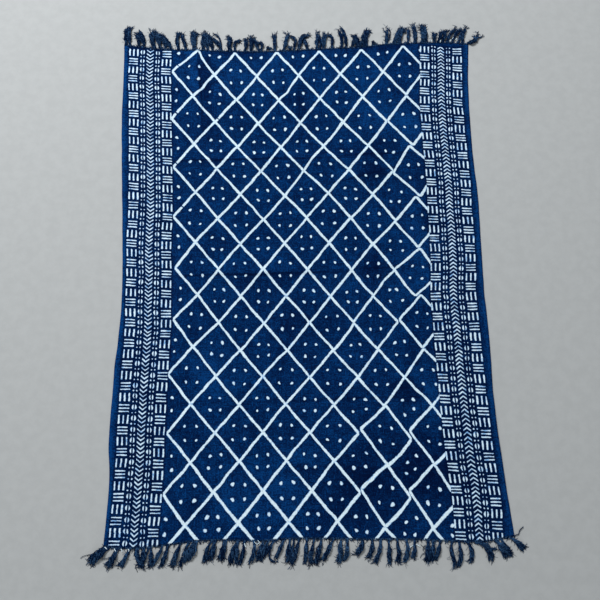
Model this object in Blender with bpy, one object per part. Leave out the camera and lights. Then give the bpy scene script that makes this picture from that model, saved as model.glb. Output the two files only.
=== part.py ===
"""Indigo throw: a printed cotton cloth lying on a floor, with a fringe of yarn locks at each end.

Metres, +Z up. +Y is the far end of the cloth, +X its right-hand side, and the throw lies on z = 0.
The origin is under the middle of the whole throw, fringes and all.
"""

import math

import bmesh
import bpy
from mathutils import Vector

MM = 0.001

# Driving dimensions
CLOTH_WIDTH = 1270 * MM
CLOTH_LENGTH = 1742 * MM
CLOTH_THICKNESS = 2.0 * MM
PIECE_GAP = 0.3 * MM
STRIP_WIDTH = 5 * MM
LOCK_WIDTH = 12 * MM
LOCK_HEIGHT = 6.5 * MM

# How finely the sheet is divided, and how much of its spacing a lock fills
GRID_ACROSS = 28
GRID_ALONG = 36
SHARE_OF_SPACING = 0.80
STRAIGHT_SHARE = 0.40
PATH_STEPS = 12

# How far each side edge stands out past the half width of the cloth, in mm.
# "along" runs from the near end, 0, to the far end, 1.
SIDE_EDGES = [
    {"along": 0.00, "left": 2, "right": 11},
    {"along": 0.06, "left": -4, "right": 2},
    {"along": 0.12, "left": -7, "right": -6},
    {"along": 0.18, "left": 0, "right": -13},
    {"along": 0.26, "left": -5, "right": -18},
    {"along": 0.32, "left": -9, "right": -16},
    {"along": 0.39, "left": -19, "right": -16},
    {"along": 0.46, "left": -23, "right": -19},
    {"along": 0.54, "left": -19, "right": -16},
    {"along": 0.66, "left": -9, "right": -13},
    {"along": 0.74, "left": -2, "right": -18},
    {"along": 0.82, "left": 4, "right": -18},
    {"along": 0.90, "left": 5, "right": -14},
    {"along": 0.96, "left": 5, "right": -6},
    {"along": 1.00, "left": 8, "right": 0},
]

# How far each end edge stands out past the half length of the cloth, in mm.
# "across" runs from the left side, 0, to the right side, 1.
END_EDGES = [
    {"across": 0.00, "near": 1, "far": 15},
    {"across": 0.04, "near": 8, "far": 4},
    {"across": 0.10, "near": 8, "far": -6},
    {"across": 0.16, "near": 0, "far": -12},
    {"across": 0.23, "near": -9, "far": -16},
    {"across": 0.30, "near": -9, "far": -21},
    {"across": 0.39, "near": -5, "far": -26},
    {"across": 0.46, "near": -10, "far": -25},
    {"across": 0.55, "near": -8, "far": -21},
    {"across": 0.66, "near": -3, "far": -18},
    {"across": 0.71, "near": -2, "far": -13},
    {"across": 0.77, "near": 0, "far": -5},
    {"across": 0.84, "near": 6, "far": -4},
    {"across": 0.93, "near": 9, "far": -4},
    {"across": 1.00, "near": -5, "far": -12},
]

# Soft creases left by folding and by how the cloth was laid down, in mm and degrees on the flat
# cloth, from its middle. Each is a ridge with a middle point, a direction, a length, a width over
# both its feet, and a height.
CREASES = [
    {"x": -60, "y": 420, "turn": 0, "long": 1060, "wide": 110, "high": 6.0},
    {"x": -80, "y": 17, "turn": 0, "long": 1000, "wide": 110, "high": 5.0},
    {"x": 90, "y": -385, "turn": 0, "long": 860, "wide": 100, "high": 4.0},
    {"x": -368, "y": 675, "turn": 90, "long": 380, "wide": 110, "high": 6.0},
    {"x": 2, "y": 610, "turn": 90, "long": 330, "wide": 100, "high": 4.0},
    {"x": 225, "y": 350, "turn": 10, "long": 300, "wide": 90, "high": 5.0},
    {"x": 180, "y": -308, "turn": -4, "long": 220, "wide": 90, "high": 3.0},
    {"x": -490, "y": -505, "turn": 8, "long": 260, "wide": 120, "high": 5.0},
    {"x": 500, "y": 205, "turn": -12, "long": 250, "wide": 130, "high": 5.5},
    {"x": 440, "y": -640, "turn": 20, "long": 280, "wide": 130, "high": 5.0},
    {"x": -520, "y": 150, "turn": 80, "long": 280, "wide": 120, "high": 4.0},
]

# The creases that cross the whole sheet get a line of the grid along their crests.
CREST_LINES_ACROSS = [-368, 2]
CREST_LINES_ALONG = [-385, 17, 420]

# Fringe: a row for each tuft of locks, in mm. Roots and tips are places across the cloth from its
# middle line, for the tuft's first and last lock. Reach is how far a tip stands past the end edge.
FAR_TUFTS = [
    {"root": (-636, -606), "tip": (-640, -612), "reach": (78, 76), "locks": 3},
    {"root": (-590, -566), "tip": (-600, -578), "reach": (58, 52), "locks": 3},
    {"root": (-545, -458), "tip": (-558, -484), "reach": (70, 46), "locks": 6},
    {"root": (-442, -412), "tip": (-450, -430), "reach": (70, 68), "locks": 3},
    {"root": (-394, -380), "tip": (-390, -374), "reach": (70, 68), "locks": 2},
    {"root": (-350, -278), "tip": (-346, -294), "reach": (77, 44), "locks": 6},
    {"root": (-258, -234), "tip": (-260, -240), "reach": (60, 58), "locks": 3},
    {"root": (-220, -206), "tip": (-230, -213), "reach": (46, 46), "locks": 2},
    {"root": (-192, -142), "tip": (-190, -144), "reach": (66, 36), "locks": 5},
    {"root": (-116, -102), "tip": (-112, -98), "reach": (15, 17), "locks": 2},
    {"root": (-84, -84), "tip": (-83, -83), "reach": (77, 77), "locks": 1},
    {"root": (-56, -12), "tip": (-42, -8), "reach": (85, 58), "locks": 4},
    {"root": (2, 40), "tip": (6, 46), "reach": (54, 62), "locks": 4},
    {"root": (70, 84), "tip": (74, 88), "reach": (73, 70), "locks": 2},
    {"root": (99, 131), "tip": (99, 126), "reach": (72, 66), "locks": 3},
    {"root": (154, 186), "tip": (154, 180), "reach": (84, 62), "locks": 3},
    {"root": (206, 230), "tip": (212, 238), "reach": (58, 50), "locks": 3},
    {"root": (246, 262), "tip": (252, 274), "reach": (66, 62), "locks": 2},
    {"root": (281, 296), "tip": (286, 302), "reach": (20, 12), "locks": 2},
    {"root": (325, 338), "tip": (330, 343), "reach": (70, 68), "locks": 2},
    {"root": (362, 410), "tip": (376, 414), "reach": (48, 66), "locks": 4},
    {"root": (430, 443), "tip": (435, 448), "reach": (84, 76), "locks": 2},
    {"root": (457, 483), "tip": (462, 482), "reach": (80, 66), "locks": 3},
    {"root": (506, 612), "tip": (516, 628), "reach": (42, 60), "locks": 8},
    {"root": (626, 626), "tip": (674, 674), "reach": (44, 44), "locks": 1},
]

NEAR_TUFTS = [
    {"root": (-632, -616), "tip": (-690, -668), "reach": (36, 52), "locks": 2},
    {"root": (-596, -556), "tip": (-627, -585), "reach": (60, 58), "locks": 3},
    {"root": (-534, -440), "tip": (-532, -460), "reach": (66, 62), "locks": 7},
    {"root": (-410, -350), "tip": (-430, -384), "reach": (74, 54), "locks": 4},
    {"root": (-316, -290), "tip": (-326, -298), "reach": (70, 62), "locks": 3},
    {"root": (-268, -254), "tip": (-280, -264), "reach": (62, 62), "locks": 2},
    {"root": (-234, -204), "tip": (-244, -214), "reach": (72, 70), "locks": 3},
    {"root": (-168, -124), "tip": (-186, -138), "reach": (70, 44), "locks": 4},
    {"root": (-110, -80), "tip": (-120, -88), "reach": (52, 62), "locks": 3},
    {"root": (-54, -30), "tip": (-64, -38), "reach": (74, 66), "locks": 3},
    {"root": (-12, 68), "tip": (-18, 50), "reach": (74, 68), "locks": 6},
    {"root": (98, 122), "tip": (88, 113), "reach": (73, 66), "locks": 3},
    {"root": (150, 163), "tip": (144, 157), "reach": (52, 50), "locks": 2},
    {"root": (186, 216), "tip": (182, 212), "reach": (58, 74), "locks": 3},
    {"root": (236, 252), "tip": (234, 248), "reach": (76, 74), "locks": 2},
    {"root": (268, 310), "tip": (272, 306), "reach": (76, 66), "locks": 4},
    {"root": (328, 342), "tip": (330, 346), "reach": (60, 50), "locks": 2},
    {"root": (368, 414), "tip": (366, 402), "reach": (64, 62), "locks": 4},
    {"root": (441, 470), "tip": (446, 470), "reach": (76, 72), "locks": 3},
    {"root": (494, 506), "tip": (500, 512), "reach": (60, 54), "locks": 2},
    {"root": (532, 552), "tip": (560, 576), "reach": (58, 50), "locks": 2},
    {"root": (574, 604), "tip": (602, 634), "reach": (46, 44), "locks": 3},
    {"root": (622, 622), "tip": (680, 680), "reach": (36, 36), "locks": 1},
]

# A lock's sections from root to tip: its width and height as shares of its full size.
LOCK_SECTIONS = [
    {"along": 0.22, "width": 0.92, "height": 0.85},
    {"along": 0.60, "width": 1.00, "height": 1.00},
    {"along": 0.88, "width": 0.92, "height": 0.90},
    {"along": 1.00, "width": 0.60, "height": 0.60},
]

CLOTH_FINISH = {"name": "indigo_cotton", "colour": (0.004, 0.024, 0.084), "roughness": 0.90}
FRINGE_FINISH = {"name": "indigo_yarn", "colour": (0.0025, 0.009, 0.030), "roughness": 0.92}


def eased(rows, key, value, place):
    """Read a value from a table at a place between its rows, on a smooth curve through them."""
    last = len(rows) - 1
    step = 0
    while step < last - 1 and place > rows[step + 1][key]:
        step += 1
    before, low, high, after = (rows[max(min(step + n, last), 0)] for n in (-1, 0, 1, 2))
    span = high[key] - low[key]
    share = (place - low[key]) / span
    leave = (high[value] - before[value]) / (high[key] - before[key]) * span
    arrive = (after[value] - low[value]) / (after[key] - low[key]) * span
    square = share ** 2
    cube = share ** 3
    return (
        (2 * cube - 3 * square + 1) * low[value]
        + (cube - 2 * square + share) * leave
        + (3 * square - 2 * cube) * high[value]
        + (cube - square) * arrive
    )


def between(ends, share):
    """The value a share of the way from the first of two numbers to the second."""
    return ends[0] + (ends[1] - ends[0]) * share


def stations(count, length, crests):
    """Even places from 0 to 1, with the nearest one moved onto each crest line."""
    places = [step / count for step in range(count + 1)]
    for crest in crests:
        wanted = crest * MM / length + 0.5
        nearest = min(range(count + 1), key=lambda step: abs(places[step] - wanted))
        places[nearest] = wanted
    return places


def sheet_point(across, along):
    """Place of a point of the sheet, from its shares of the width and the length."""
    half_width = CLOTH_WIDTH / 2
    half_length = CLOTH_LENGTH / 2
    left = -half_width - eased(SIDE_EDGES, "along", "left", along) * MM
    right = half_width + eased(SIDE_EDGES, "along", "right", along) * MM
    near = -half_length - eased(END_EDGES, "across", "near", across) * MM
    far = half_length + eased(END_EDGES, "across", "far", across) * MM
    return between((left, right), across), between((near, far), along)


def fade_out(place, power):
    """A ridge's rise: 1 in the middle and 0 from 1 outwards, with a sharper crest for more power."""
    return (1 - min(abs(place), 1)) ** power


def sheet_height(across, along):
    """Height of the underside of the cloth over the floor: 0 but for its creases."""
    height = 0.0
    for crease in CREASES:
        turn = math.radians(crease["turn"])
        off_x = (across - 0.5) * CLOTH_WIDTH - crease["x"] * MM
        off_y = (along - 0.5) * CLOTH_LENGTH - crease["y"] * MM
        lengthwise = (off_x * math.cos(turn) + off_y * math.sin(turn)) / (crease["long"] * MM / 2)
        sideways = (off_y * math.cos(turn) - off_x * math.sin(turn)) / (crease["wide"] * MM / 2)
        height = max(height, crease["high"] * MM * fade_out(lengthwise, 0.6) * fade_out(sideways, 1.5))
    return height


def finish_material(finish):
    """A plain material from its colour and roughness, made once and then shared."""
    material = bpy.data.materials.get(finish["name"])
    if material is None:
        material = bpy.data.materials.new(finish["name"])
        material.use_nodes = True
        shader = material.node_tree.nodes["Principled BSDF"]
        shader.inputs["Base Color"].default_value = (*finish["colour"], 1)
        shader.inputs["Roughness"].default_value = finish["roughness"]
        shader.inputs["Metallic"].default_value = 0
        material.diffuse_color = (*finish["colour"], 1)
    return material


def add_object(name, bm, finish):
    """Turn a bmesh into an object of the scene, with its material."""
    mesh = bpy.data.meshes.new(name)
    bm.to_mesh(mesh)
    bm.free()
    mesh.materials.append(finish_material(finish))
    piece = bpy.data.objects.new(name, mesh)
    bpy.context.scene.collection.objects.link(piece)
    return piece


def build_cloth():
    """The sheet: a grid laid on the cloth's outline and creases, thickened upwards."""
    across = stations(GRID_ACROSS, CLOTH_WIDTH, CREST_LINES_ACROSS)
    along = stations(GRID_ALONG, CLOTH_LENGTH, CREST_LINES_ALONG)
    bm = bmesh.new()
    bmesh.ops.create_grid(bm, x_segments=GRID_ACROSS, y_segments=GRID_ALONG, size=0.5)
    for vert in bm.verts:
        column = round((vert.co.x + 0.5) * GRID_ACROSS)
        row = round((vert.co.y + 0.5) * GRID_ALONG)
        x, y = sheet_point(across[column], along[row])
        vert.co = (x, y, sheet_height(across[column], along[row]))
    cloth = add_object("throw_cloth", bm, CLOTH_FINISH)
    thicken = cloth.modifiers.new("cloth_thickness", "SOLIDIFY")
    thicken.thickness = CLOTH_THICKNESS
    thicken.offset = 1
    return cloth


def end_edge(side):
    """The corners of the sheet's end edge from left to right; side is 1 for far, -1 for near."""
    along = 1 if side > 0 else 0
    across = stations(GRID_ACROSS, CLOTH_WIDTH, CREST_LINES_ACROSS)
    return [sheet_point(place, along) for place in across]


def edge_y(edge, x):
    """The y of an end edge at x, on the straight runs between its corners."""
    for (low_x, low_y), (high_x, high_y) in zip(edge, edge[1:]):
        if x <= high_x:
            break
    return between((low_y, high_y), (x - low_x) / (high_x - low_x))


def plan_locks(tufts, edge, side):
    """Each lock's root and tip on the floor, from left to right."""
    locks = []
    for tuft in tufts:
        for count in range(tuft["locks"]):
            share = count / max(tuft["locks"] - 1, 1)
            root_x = between(tuft["root"], share) * MM
            tip_x = between(tuft["tip"], share) * MM
            root_y = edge_y(edge, root_x) + side * (PIECE_GAP + STRIP_WIDTH)
            tip_y = edge_y(edge, root_x) + side * between(tuft["reach"], share) * MM
            locks.append({"root": Vector((root_x, root_y)), "tip": Vector((tip_x, tip_y))})
    return locks


def lock_point(lock, side, share):
    """A lock's middle line: it leaves the edge squarely and bends towards its tip."""
    root = lock["root"]
    tip = lock["tip"]
    bend = root + Vector((0, side * STRAIGHT_SHARE * (tip - root).length))
    place = root * (1 - share) ** 2 + bend * 2 * share * (1 - share) + tip * share ** 2
    way = (bend - root) * (1 - share) + (tip - bend) * share
    return place, way.normalized()


def clear_width(locks, number, side, share):
    """A lock's width at a place along it, kept clear of the locks beside it."""
    place, _ = lock_point(locks[number], side, share)
    width = LOCK_WIDTH
    for other in (number - 1, number + 1):
        if 0 <= other < len(locks):
            path = [lock_point(locks[other], side, step / PATH_STEPS)[0] for step in range(PATH_STEPS + 1)]
            width = min(width, SHARE_OF_SPACING * min((point - place).length for point in path))
    return width


def pull_lock(bm, face, locks, number, side):
    """Draw one lock out of its root face on the strip, section by section."""
    middle_x = locks[number]["root"].x
    corners = [(v.co.x > middle_x, v.co.z > CLOTH_THICKNESS / 2) for v in face.verts]
    for section in LOCK_SECTIONS:
        place, way = lock_point(locks[number], side, section["along"])
        sideways = Vector((way.y, -way.x)) * side
        width = clear_width(locks, number, side, section["along"])
        half = sideways * width * section["width"] / 2
        top = LOCK_HEIGHT * section["height"] * min(1, width / LOCK_HEIGHT)
        face = bmesh.ops.extrude_discrete_faces(bm, faces=[face])["faces"][0]
        for vert, (is_right, is_high) in zip(face.verts, corners):
            corner = place + half if is_right else place - half
            vert.co = (corner.x, corner.y, top if is_high else 0)


def build_fringe(name, tufts, side):
    """A strip along one end of the cloth, with its locks drawn out of the strip's outer side."""
    edge = end_edge(side)
    locks = plan_locks(tufts, edge, side)
    inner = [(x, y + side * PIECE_GAP) for x, y in edge]
    strip_out = side * (PIECE_GAP + STRIP_WIDTH)
    outer = [(edge[0][0], edge[0][1] + strip_out)]
    for number, lock in enumerate(locks):
        half = clear_width(locks, number, side, 0) / 2
        for x in (lock["root"].x - half, lock["root"].x + half):
            outer.append((x, edge_y(edge, x) + strip_out))
    outer.append((edge[-1][0], edge[-1][1] + strip_out))

    bm = bmesh.new()
    inner_verts = [bm.verts.new((x, y, 0)) for x, y in inner]
    outer_verts = [bm.verts.new((x, y, 0)) for x, y in outer]
    strip = bm.faces.new(inner_verts + outer_verts[::-1])
    raised = bmesh.ops.extrude_face_region(bm, geom=[strip], use_keep_orig=True)["geom"]
    for vert in raised:
        if isinstance(vert, bmesh.types.BMVert):
            vert.co.z = CLOTH_THICKNESS
    for number in range(len(locks)):
        left, right = outer_verts[2 * number + 1:2 * number + 3]
        root_face = [f for f in bm.edges.get((left, right)).link_faces if f is not strip][0]
        pull_lock(bm, root_face, locks, number, side)
    bmesh.ops.recalc_face_normals(bm, faces=bm.faces[:])
    return add_object(name, bm, FRINGE_FINISH)


def centre_on_origin(pieces):
    """Move the pieces together so that the origin is under the middle of the throw."""
    points = [vert.co for piece in pieces for vert in piece.data.vertices]
    middle_x = (min(p.x for p in points) + max(p.x for p in points)) / 2
    middle_y = (min(p.y for p in points) + max(p.y for p in points)) / 2
    for piece in pieces:
        piece.location = (-middle_x, -middle_y, 0)


def main():
    for old in list(bpy.data.objects):
        bpy.data.objects.remove(old, do_unlink=True)
    pieces = [
        build_cloth(),
        build_fringe("fringe_far", FAR_TUFTS, 1),
        build_fringe("fringe_near", NEAR_TUFTS, -1),
    ]
    centre_on_origin(pieces)


main()
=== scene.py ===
"""Looks of the indigo throw: the printed cloth, its yarn fringes, the floor, the light and the camera.

Metres, +Z up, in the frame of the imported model, but for the values whose comment says mm.
"""

import math
import random
from types import SimpleNamespace as Values

import bpy
import numpy as np
from mathutils import Matrix, Vector, noise


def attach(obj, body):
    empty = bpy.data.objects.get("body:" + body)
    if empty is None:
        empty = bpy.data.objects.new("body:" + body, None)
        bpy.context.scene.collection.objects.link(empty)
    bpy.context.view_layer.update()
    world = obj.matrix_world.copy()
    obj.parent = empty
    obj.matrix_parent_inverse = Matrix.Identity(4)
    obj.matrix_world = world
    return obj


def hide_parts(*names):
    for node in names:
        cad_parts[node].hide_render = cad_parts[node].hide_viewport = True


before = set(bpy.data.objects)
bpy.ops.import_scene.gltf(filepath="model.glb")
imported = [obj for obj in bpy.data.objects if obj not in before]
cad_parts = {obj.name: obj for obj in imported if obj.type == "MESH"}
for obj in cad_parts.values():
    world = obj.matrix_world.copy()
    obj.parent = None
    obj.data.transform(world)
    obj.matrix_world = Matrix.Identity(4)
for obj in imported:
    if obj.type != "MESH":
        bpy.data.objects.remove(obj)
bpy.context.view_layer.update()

MM = 0.001


def table(columns, rows):
    """A table's rows, whose values are read by the names of its columns."""
    return [Values(**dict(zip(columns.split(), row))) for row in rows]


# The cloth, as the solid has it, and where the middle of the laid-out cloth is from the origin
CLOTH_WIDTH = 1270 * MM
CLOTH_LENGTH = 1742 * MM
CLOTH_THICKNESS = 2.0 * MM
CLOTH_MIDDLE = (5.0 * MM, -4.76 * MM)

# How far each side edge stands out past the half width of the cloth, in mm.
# "along" runs from the near end, 0, to the far end, 1.
SIDE_EDGES = table("along left right", [
    (0.00, 2, 11),
    (0.06, -4, 2),
    (0.12, -7, -6),
    (0.18, 0, -13),
    (0.26, -5, -18),
    (0.32, -9, -16),
    (0.39, -19, -16),
    (0.46, -23, -19),
    (0.54, -19, -16),
    (0.66, -9, -13),
    (0.74, -2, -18),
    (0.82, 4, -18),
    (0.90, 5, -14),
    (0.96, 5, -6),
    (1.00, 8, 0),
])

# How far each end edge stands out past the half length of the cloth, in mm.
# "across" runs from the left side, 0, to the right side, 1.
END_EDGES = table("across near far", [
    (0.00, 1, 15),
    (0.04, 8, 4),
    (0.10, 8, -6),
    (0.16, 0, -12),
    (0.23, -9, -16),
    (0.30, -9, -21),
    (0.39, -5, -26),
    (0.46, -10, -25),
    (0.55, -8, -21),
    (0.66, -3, -18),
    (0.71, -2, -13),
    (0.77, 0, -5),
    (0.84, 6, -4),
    (0.93, 9, -4),
    (1.00, -5, -12),
])

# Soft creases, in mm and degrees on the flat cloth, from its middle: the solid's own, most of them a little
# lower because the fold lines stand on them, and one along the right edge near the near end
CREASES = table("x y turn long wide high", [
    (-60, 420, 0, 1060, 110, 4.8),
    (-80, 17, 0, 1000, 110, 4.0),
    (90, -385, 0, 860, 100, 3.2),
    (-368, 675, 90, 380, 110, 4.8),
    (2, 610, 90, 330, 100, 3.2),
    (225, 350, 10, 300, 90, 4.2),
    (180, -308, -4, 220, 90, 2.6),
    (-490, -505, 8, 260, 120, 4.6),
    (500, 205, -12, 250, 130, 5.0),
    (440, -640, 20, 280, 130, 4.6),
    (-520, 150, 80, 280, 120, 3.6),
    (618, -520, 92, 560, 90, 6.0),
])
CREASE_CREST = 1.5
CREASE_FADE = 0.6

# The sharp lines that folding pressed into the creases, in mm and degrees: gentle on the side that faces
# the light, over "wide", and steep on the other, over "drop". The folds' dark stripe, painted shade along
# their steep side, is in mm as well, but their wander to the sides is in metres.
FOLD_LINES = table("x y turn long wide drop high dark", [
    (-180, 418, 0, 760, 40, 8, 2.6, 0.46),
    (-575, 431, -3, 190, 36, 8, 1.8, 0.34),
    (270, 429, 2, 300, 34, 8, 1.9, 0.44),
    (235, 352, 14, 240, 32, 8, 1.9, 0.48),
    (-140, -2, 0, 640, 40, 8, 2.2, 0.46),
    (290, 14, 2, 240, 30, 9, 1.0, 0.28),
    (90, -428, 1, 660, 38, 10, 1.2, 0.26),
    (-360, 700, 94, 400, 44, 9, 2.6, 0.40),
    (-1, 590, 89, 340, 38, 9, 1.7, 0.26),
    (2, -130, 90, 200, 34, 10, 1.1, 0.18),
])
FOLD_FADE = 0.5
FOLD_SLOPE = 1.6
FOLD_WANDER = Values(size=0.090, out=0.0030, seed=21)
FOLD_PAINTED_SHADE_WIDE = 3.4

# The grid of the cloth's mesh, with finer rows and columns at the fold lines, whose places are in mm, and
# how unevenly the cloth lies between its creases, in metres
GRID_ACROSS = 180
GRID_ALONG = 268
GRID_SAMPLES = 2001
FINE_ROWS = (448, 432, 360, 6, -427)
FINE_COLUMNS = (-348, 2)
FINE_BAND = Values(reach=0.022, times=1.9)
RIPPLES = table("size high seed", [
    (0.260, 0.0014, 1),
    (0.090, 0.0006, 2),
    (0.035, 0.0003, 3),
])
EDGE_REST = 0.040
EDGE_LIFT = 0.15
EDGE_WAVE = Values(size=0.060, out=0.0012, seed_x=11, seed_y=12)
NOISE_SHIFT = Vector((17.3, 5.7, 3.1))
UPPER_SHARE_OF_MAP = 0.72
UNDER_START_ON_MAP = 0.73
RIM_ON_MAP = (0.7235, 0.7265)

# Where the cloth is darker, shade below 0, or paler, above it: middles and sizes in mm on the flat cloth.
# Some patches are dye that took deeper or less; others are painted light and shade beside the creases and a
# painted shadow along the far edge. The patches' wander is in metres.
DYE_AND_PAINTED_SHADE_PATCHES = table("x y wide long shade", [
    # A painted shadow along the far edge
    (-190, 866, 330, 50, -0.50),
    (0, 862, 110, 40, -0.40),
    (330, 862, 190, 50, -0.45),
    # Painted light and shade on the two sides of the crease at x -368, then painted shade on the creases at x
    # 0 and y 412
    (-382, 765, 34, 210, 0.24),
    (-336, 735, 58, 190, -0.38),
    (-318, 560, 56, 150, -0.24),
    (10, 600, 40, 230, -0.20),
    (-220, 412, 500, 34, -0.10),
    (230, 445, 200, 60, -0.24),
    (245, 350, 110, 80, -0.30),
    (430, 370, 90, 110, -0.26),
    (455, 190, 80, 150, -0.30),
    (235, 8, 100, 80, -0.30),
    (-80, -24, 320, 56, -0.12),
    (0, -170, 220, 140, -0.12),
    (385, -265, 110, 110, -0.20),
    (333, -412, 100, 90, -0.36),
    (360, -650, 180, 190, -0.36),
    (180, -660, 190, 150, -0.32),
    (440, -720, 140, 170, -0.24),
    (180, -760, 360, 180, -0.16),
    (-18, -652, 90, 60, -0.30),
    (540, -640, 200, 300, -0.16),
    (540, 560, 260, 50, -0.22),
    (-170, 725, 190, 140, 0.20),
    (190, 740, 260, 140, 0.18),
    (290, 600, 190, 150, 0.18),
    (400, 545, 80, 80, 0.26),
    (400, 60, 150, 300, 0.12),
    (410, -430, 120, 220, 0.12),
    (-280, -350, 220, 180, 0.14),
    (10, -610, 180, 70, 0.22),
    (-160, -720, 320, 210, 0.20),
    (-560, 300, 220, 1100, 0.06),
])
PATCH_SPREAD = 1.6
PATCH_WANDER = Values(size=0.050, out=0.018, seed_x=31, seed_y=32)
SELVEDGE = Values(wide=13, soft=4, left=0.34, right=0.30)

# Where the hand-stamped blocks of the field lie, in mm: the joints between one row of blocks and the next,
# from the middle of the flat cloth, on the middle lines of the first, second, fourth and sixth columns
FIELD_ROWS = table("row x1 y1 x2 y2 x4 y4 x6 y6", [
    (0, -383, 862, -230, 844, 80, 843, 395, 853),
    (1, -385, 670, -225, 648, 80, 652, 392, 655),
    (2, -376, 481, -222, 467, 88, 460, 404, 457),
    (3, -367, 297, -211, 286, 98, 284, 412, 265),
    (4, -366, 113, -214, 103, 95, 101, 401, 81),
    (5, -357, -72, -208, -82, 95, -88, 392, -93),
    (6, -368, -250, -210, -265, 98, -270, 400, -272),
    (7, -373, -440, -215, -443, 94, -450, 417, -460),
    (8, -370, -625, -215, -622, 90, -628, 410, -645),
    (9, -383, -815, -217, -811, 96, -812, 396, -838),
    (10, -388, -998, -222, -990, 98, -990, 392, -1019),
])
CHARTED_COLUMNS = table("column x y", [
    (0.5, "x1", "y1"),
    (1.5, "x2", "y2"),
    (3.5, "x4", "y4"),
    (5.5, "x6", "y6"),
])
FIELD_CORNER = (-463, 850)
LAST_COLUMN = 5
LAST_ROW = 9
CHART_ROUNDS = 8
CHART_STEP = 80
CHARTED_ACROSS = (-1.5, LAST_COLUMN + 2.5)
CHARTED_ALONG = (-0.6, LAST_ROW + 1.6)

# Where the field's printed lines lie off their rows, in mm: around which place, how far that reaches, how
# far off
PRINT_SLIPS = table("x y reach right up", [
    (-388, 838, 38, 13, -3),
    (-362, 868, 28, 10, -5),
    (-425, 812, 30, 4, -4),
    (-318, 800, 36, -4, 0),
    (-353, 698, 22, 2, -6),
    (-40, 678, 24, 5, -2),
    (240, 780, 60, 6, -2),
    (-60, 700, 60, 5, -4),
    (-200, 595, 90, -1, 5),
    (-180, 500, 70, 0, -4),
    (50, 415, 60, -5, 6),
    (240, 410, 60, 2, 6),
    (-60, 315, 110, 2, -9),
    (-170, 175, 110, 5, -2),
    (-60, 180, 60, 0, -4),
    (-130, 36, 90, 2, 5),
    (285, -50, 65, -8, 2),
    (165, -60, 45, -2, -6),
    (-50, -155, 65, 3, 7),
    (400, -150, 60, 8, 6),
    (165, -243, 45, 0, -6),
    (-80, -336, 60, -4, 4),
    (210, -430, 80, 5, -3),
    (285, -620, 75, 8, -11),
    (240, -715, 50, 2, -6),
    (230, -805, 75, -2, -11),
    (320, -810, 50, 6, -4),
])

# Blocks that were stamped clearly out of line: mm to the right and up, degrees to the left, and how much
# lower they lie for each mm to the right
STRAY_BLOCKS = table("column row right up turn skew", [
    (5, 0, 0, 3, 0, 0),
    (5, 1, 2, -1, 1, 0),
    (5, 2, 0, -1, 6, 0),
    (5, 3, -3, -2, 2, 0),
    (5, 4, -1, -3, -7, 0),
    (5, 5, 1, 1, -3, 0),
    (4, 5, -2, 0, 0, 0),
    (3, 5, 2, 0, 0, 0),
    (4, 7, 5, 0, 0, 0.17),
    (5, 7, 2, 0, 0, 0.19),
    (4, 8, 3, 3, 0, 0.09),
    (5, 8, -1, 1, 0, 0.17),
])

# Where the stamp missed a diamond's far left side: how far out from its far corner, and mm of the line
PRINT_BREAKS = table("column row share long", [
    (0, 0, 0.74, 3.0),
    (0, 1, 0.76, 5.0),
    (0, 2, 0.84, 3.0),
    (0, 3, 0.62, 3.4),
    (1, 1, 0.86, 2.6),
])
BREAK_REACH = 9

# One block of the field, in mm and degrees: a diamond, four dots in it and one dot in each corner
BLOCK_SIZE = (156, 186)
HALF_WIDE = BLOCK_SIZE[0] / 2
HALF_LONG = BLOCK_SIZE[1] / 2
SLANT = math.hypot(HALF_WIDE, HALF_LONG)
DIAMOND_LINE = 8.8
INNER_DOT = (19, 23.5)
CORNER_DOT = (60.5, 73)
FIELD_DOT = Values(wide=8.7, long=11.8, uneven=0.26, taper=0.22, lean=36, slip=3.6, turn=50)
BLOCK_SLIP = 2.4
BLOCK_TILT = 1.8
BLOCK_OVERLAP = 1.2
WELL_OUTSIDE = 1000.0

# The side borders in mm, from far to near: the middle line of each, how much lower the marks of its lower
# side stand than those of the other, and how far up they all lie. On the left the side next to the field
# is the lower one.
BORDER_LINES = table("y left left_drop left_up right right_drop right_up", [
    (850, -543.5, 9, -4, 532, 11, -4),
    (760, -545.5, 10.3, -4, 527.5, 11.4, -3),
    (640, -539.5, 12, -4, 519.5, 12, -1),
    (515, -534.5, 12.6, -3, 519, 10, -3),
    (430, -532, 13, -2, 521, 8, -3.5),
    (330, -528.5, 12, -3, 523.7, 8, -4),
    (220, -526, 11, -3, 520.6, 8, -3),
    (110, -527, 10, -2, 521.2, 6, -3),
    (10, -523.6, 9, -1, 518.6, 4, -3),
    (-90, -523.5, 8, 1, 511.7, 2, 0),
    (-200, -521, 6, 1, 513.2, 3, 3),
    (-410, -529, 5, -2, 518.3, 6, 6),
    (-540, -532.8, 5, -2.4, 523, 3, 1.8),
    (-620, -532.5, 5, 0.7, 526.6, 5, 1.5),
    (-740, -537.3, 5.5, 1.9, 536, 6, 2.4),
    (-850, -544.5, 2, 0.4, 538, 6, 3),
])

# Where the borders' marks lie off those lines, in the same way as the field's
BORDER_SLIPS = table("x y reach right up", [
    (540, 850, 46, 0, -6),
    (-605, 840, 60, -3, 0),
    (-600, 725, 50, -2.4, 0),
    (600, -860, 60, -4, 0),
])
LEFT_BORDER = Values(start=855, repeat=70.3)
RIGHT_BORDER = Values(start=811.1, repeat=69.8)
RIGHT_SHIFT = 25

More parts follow.
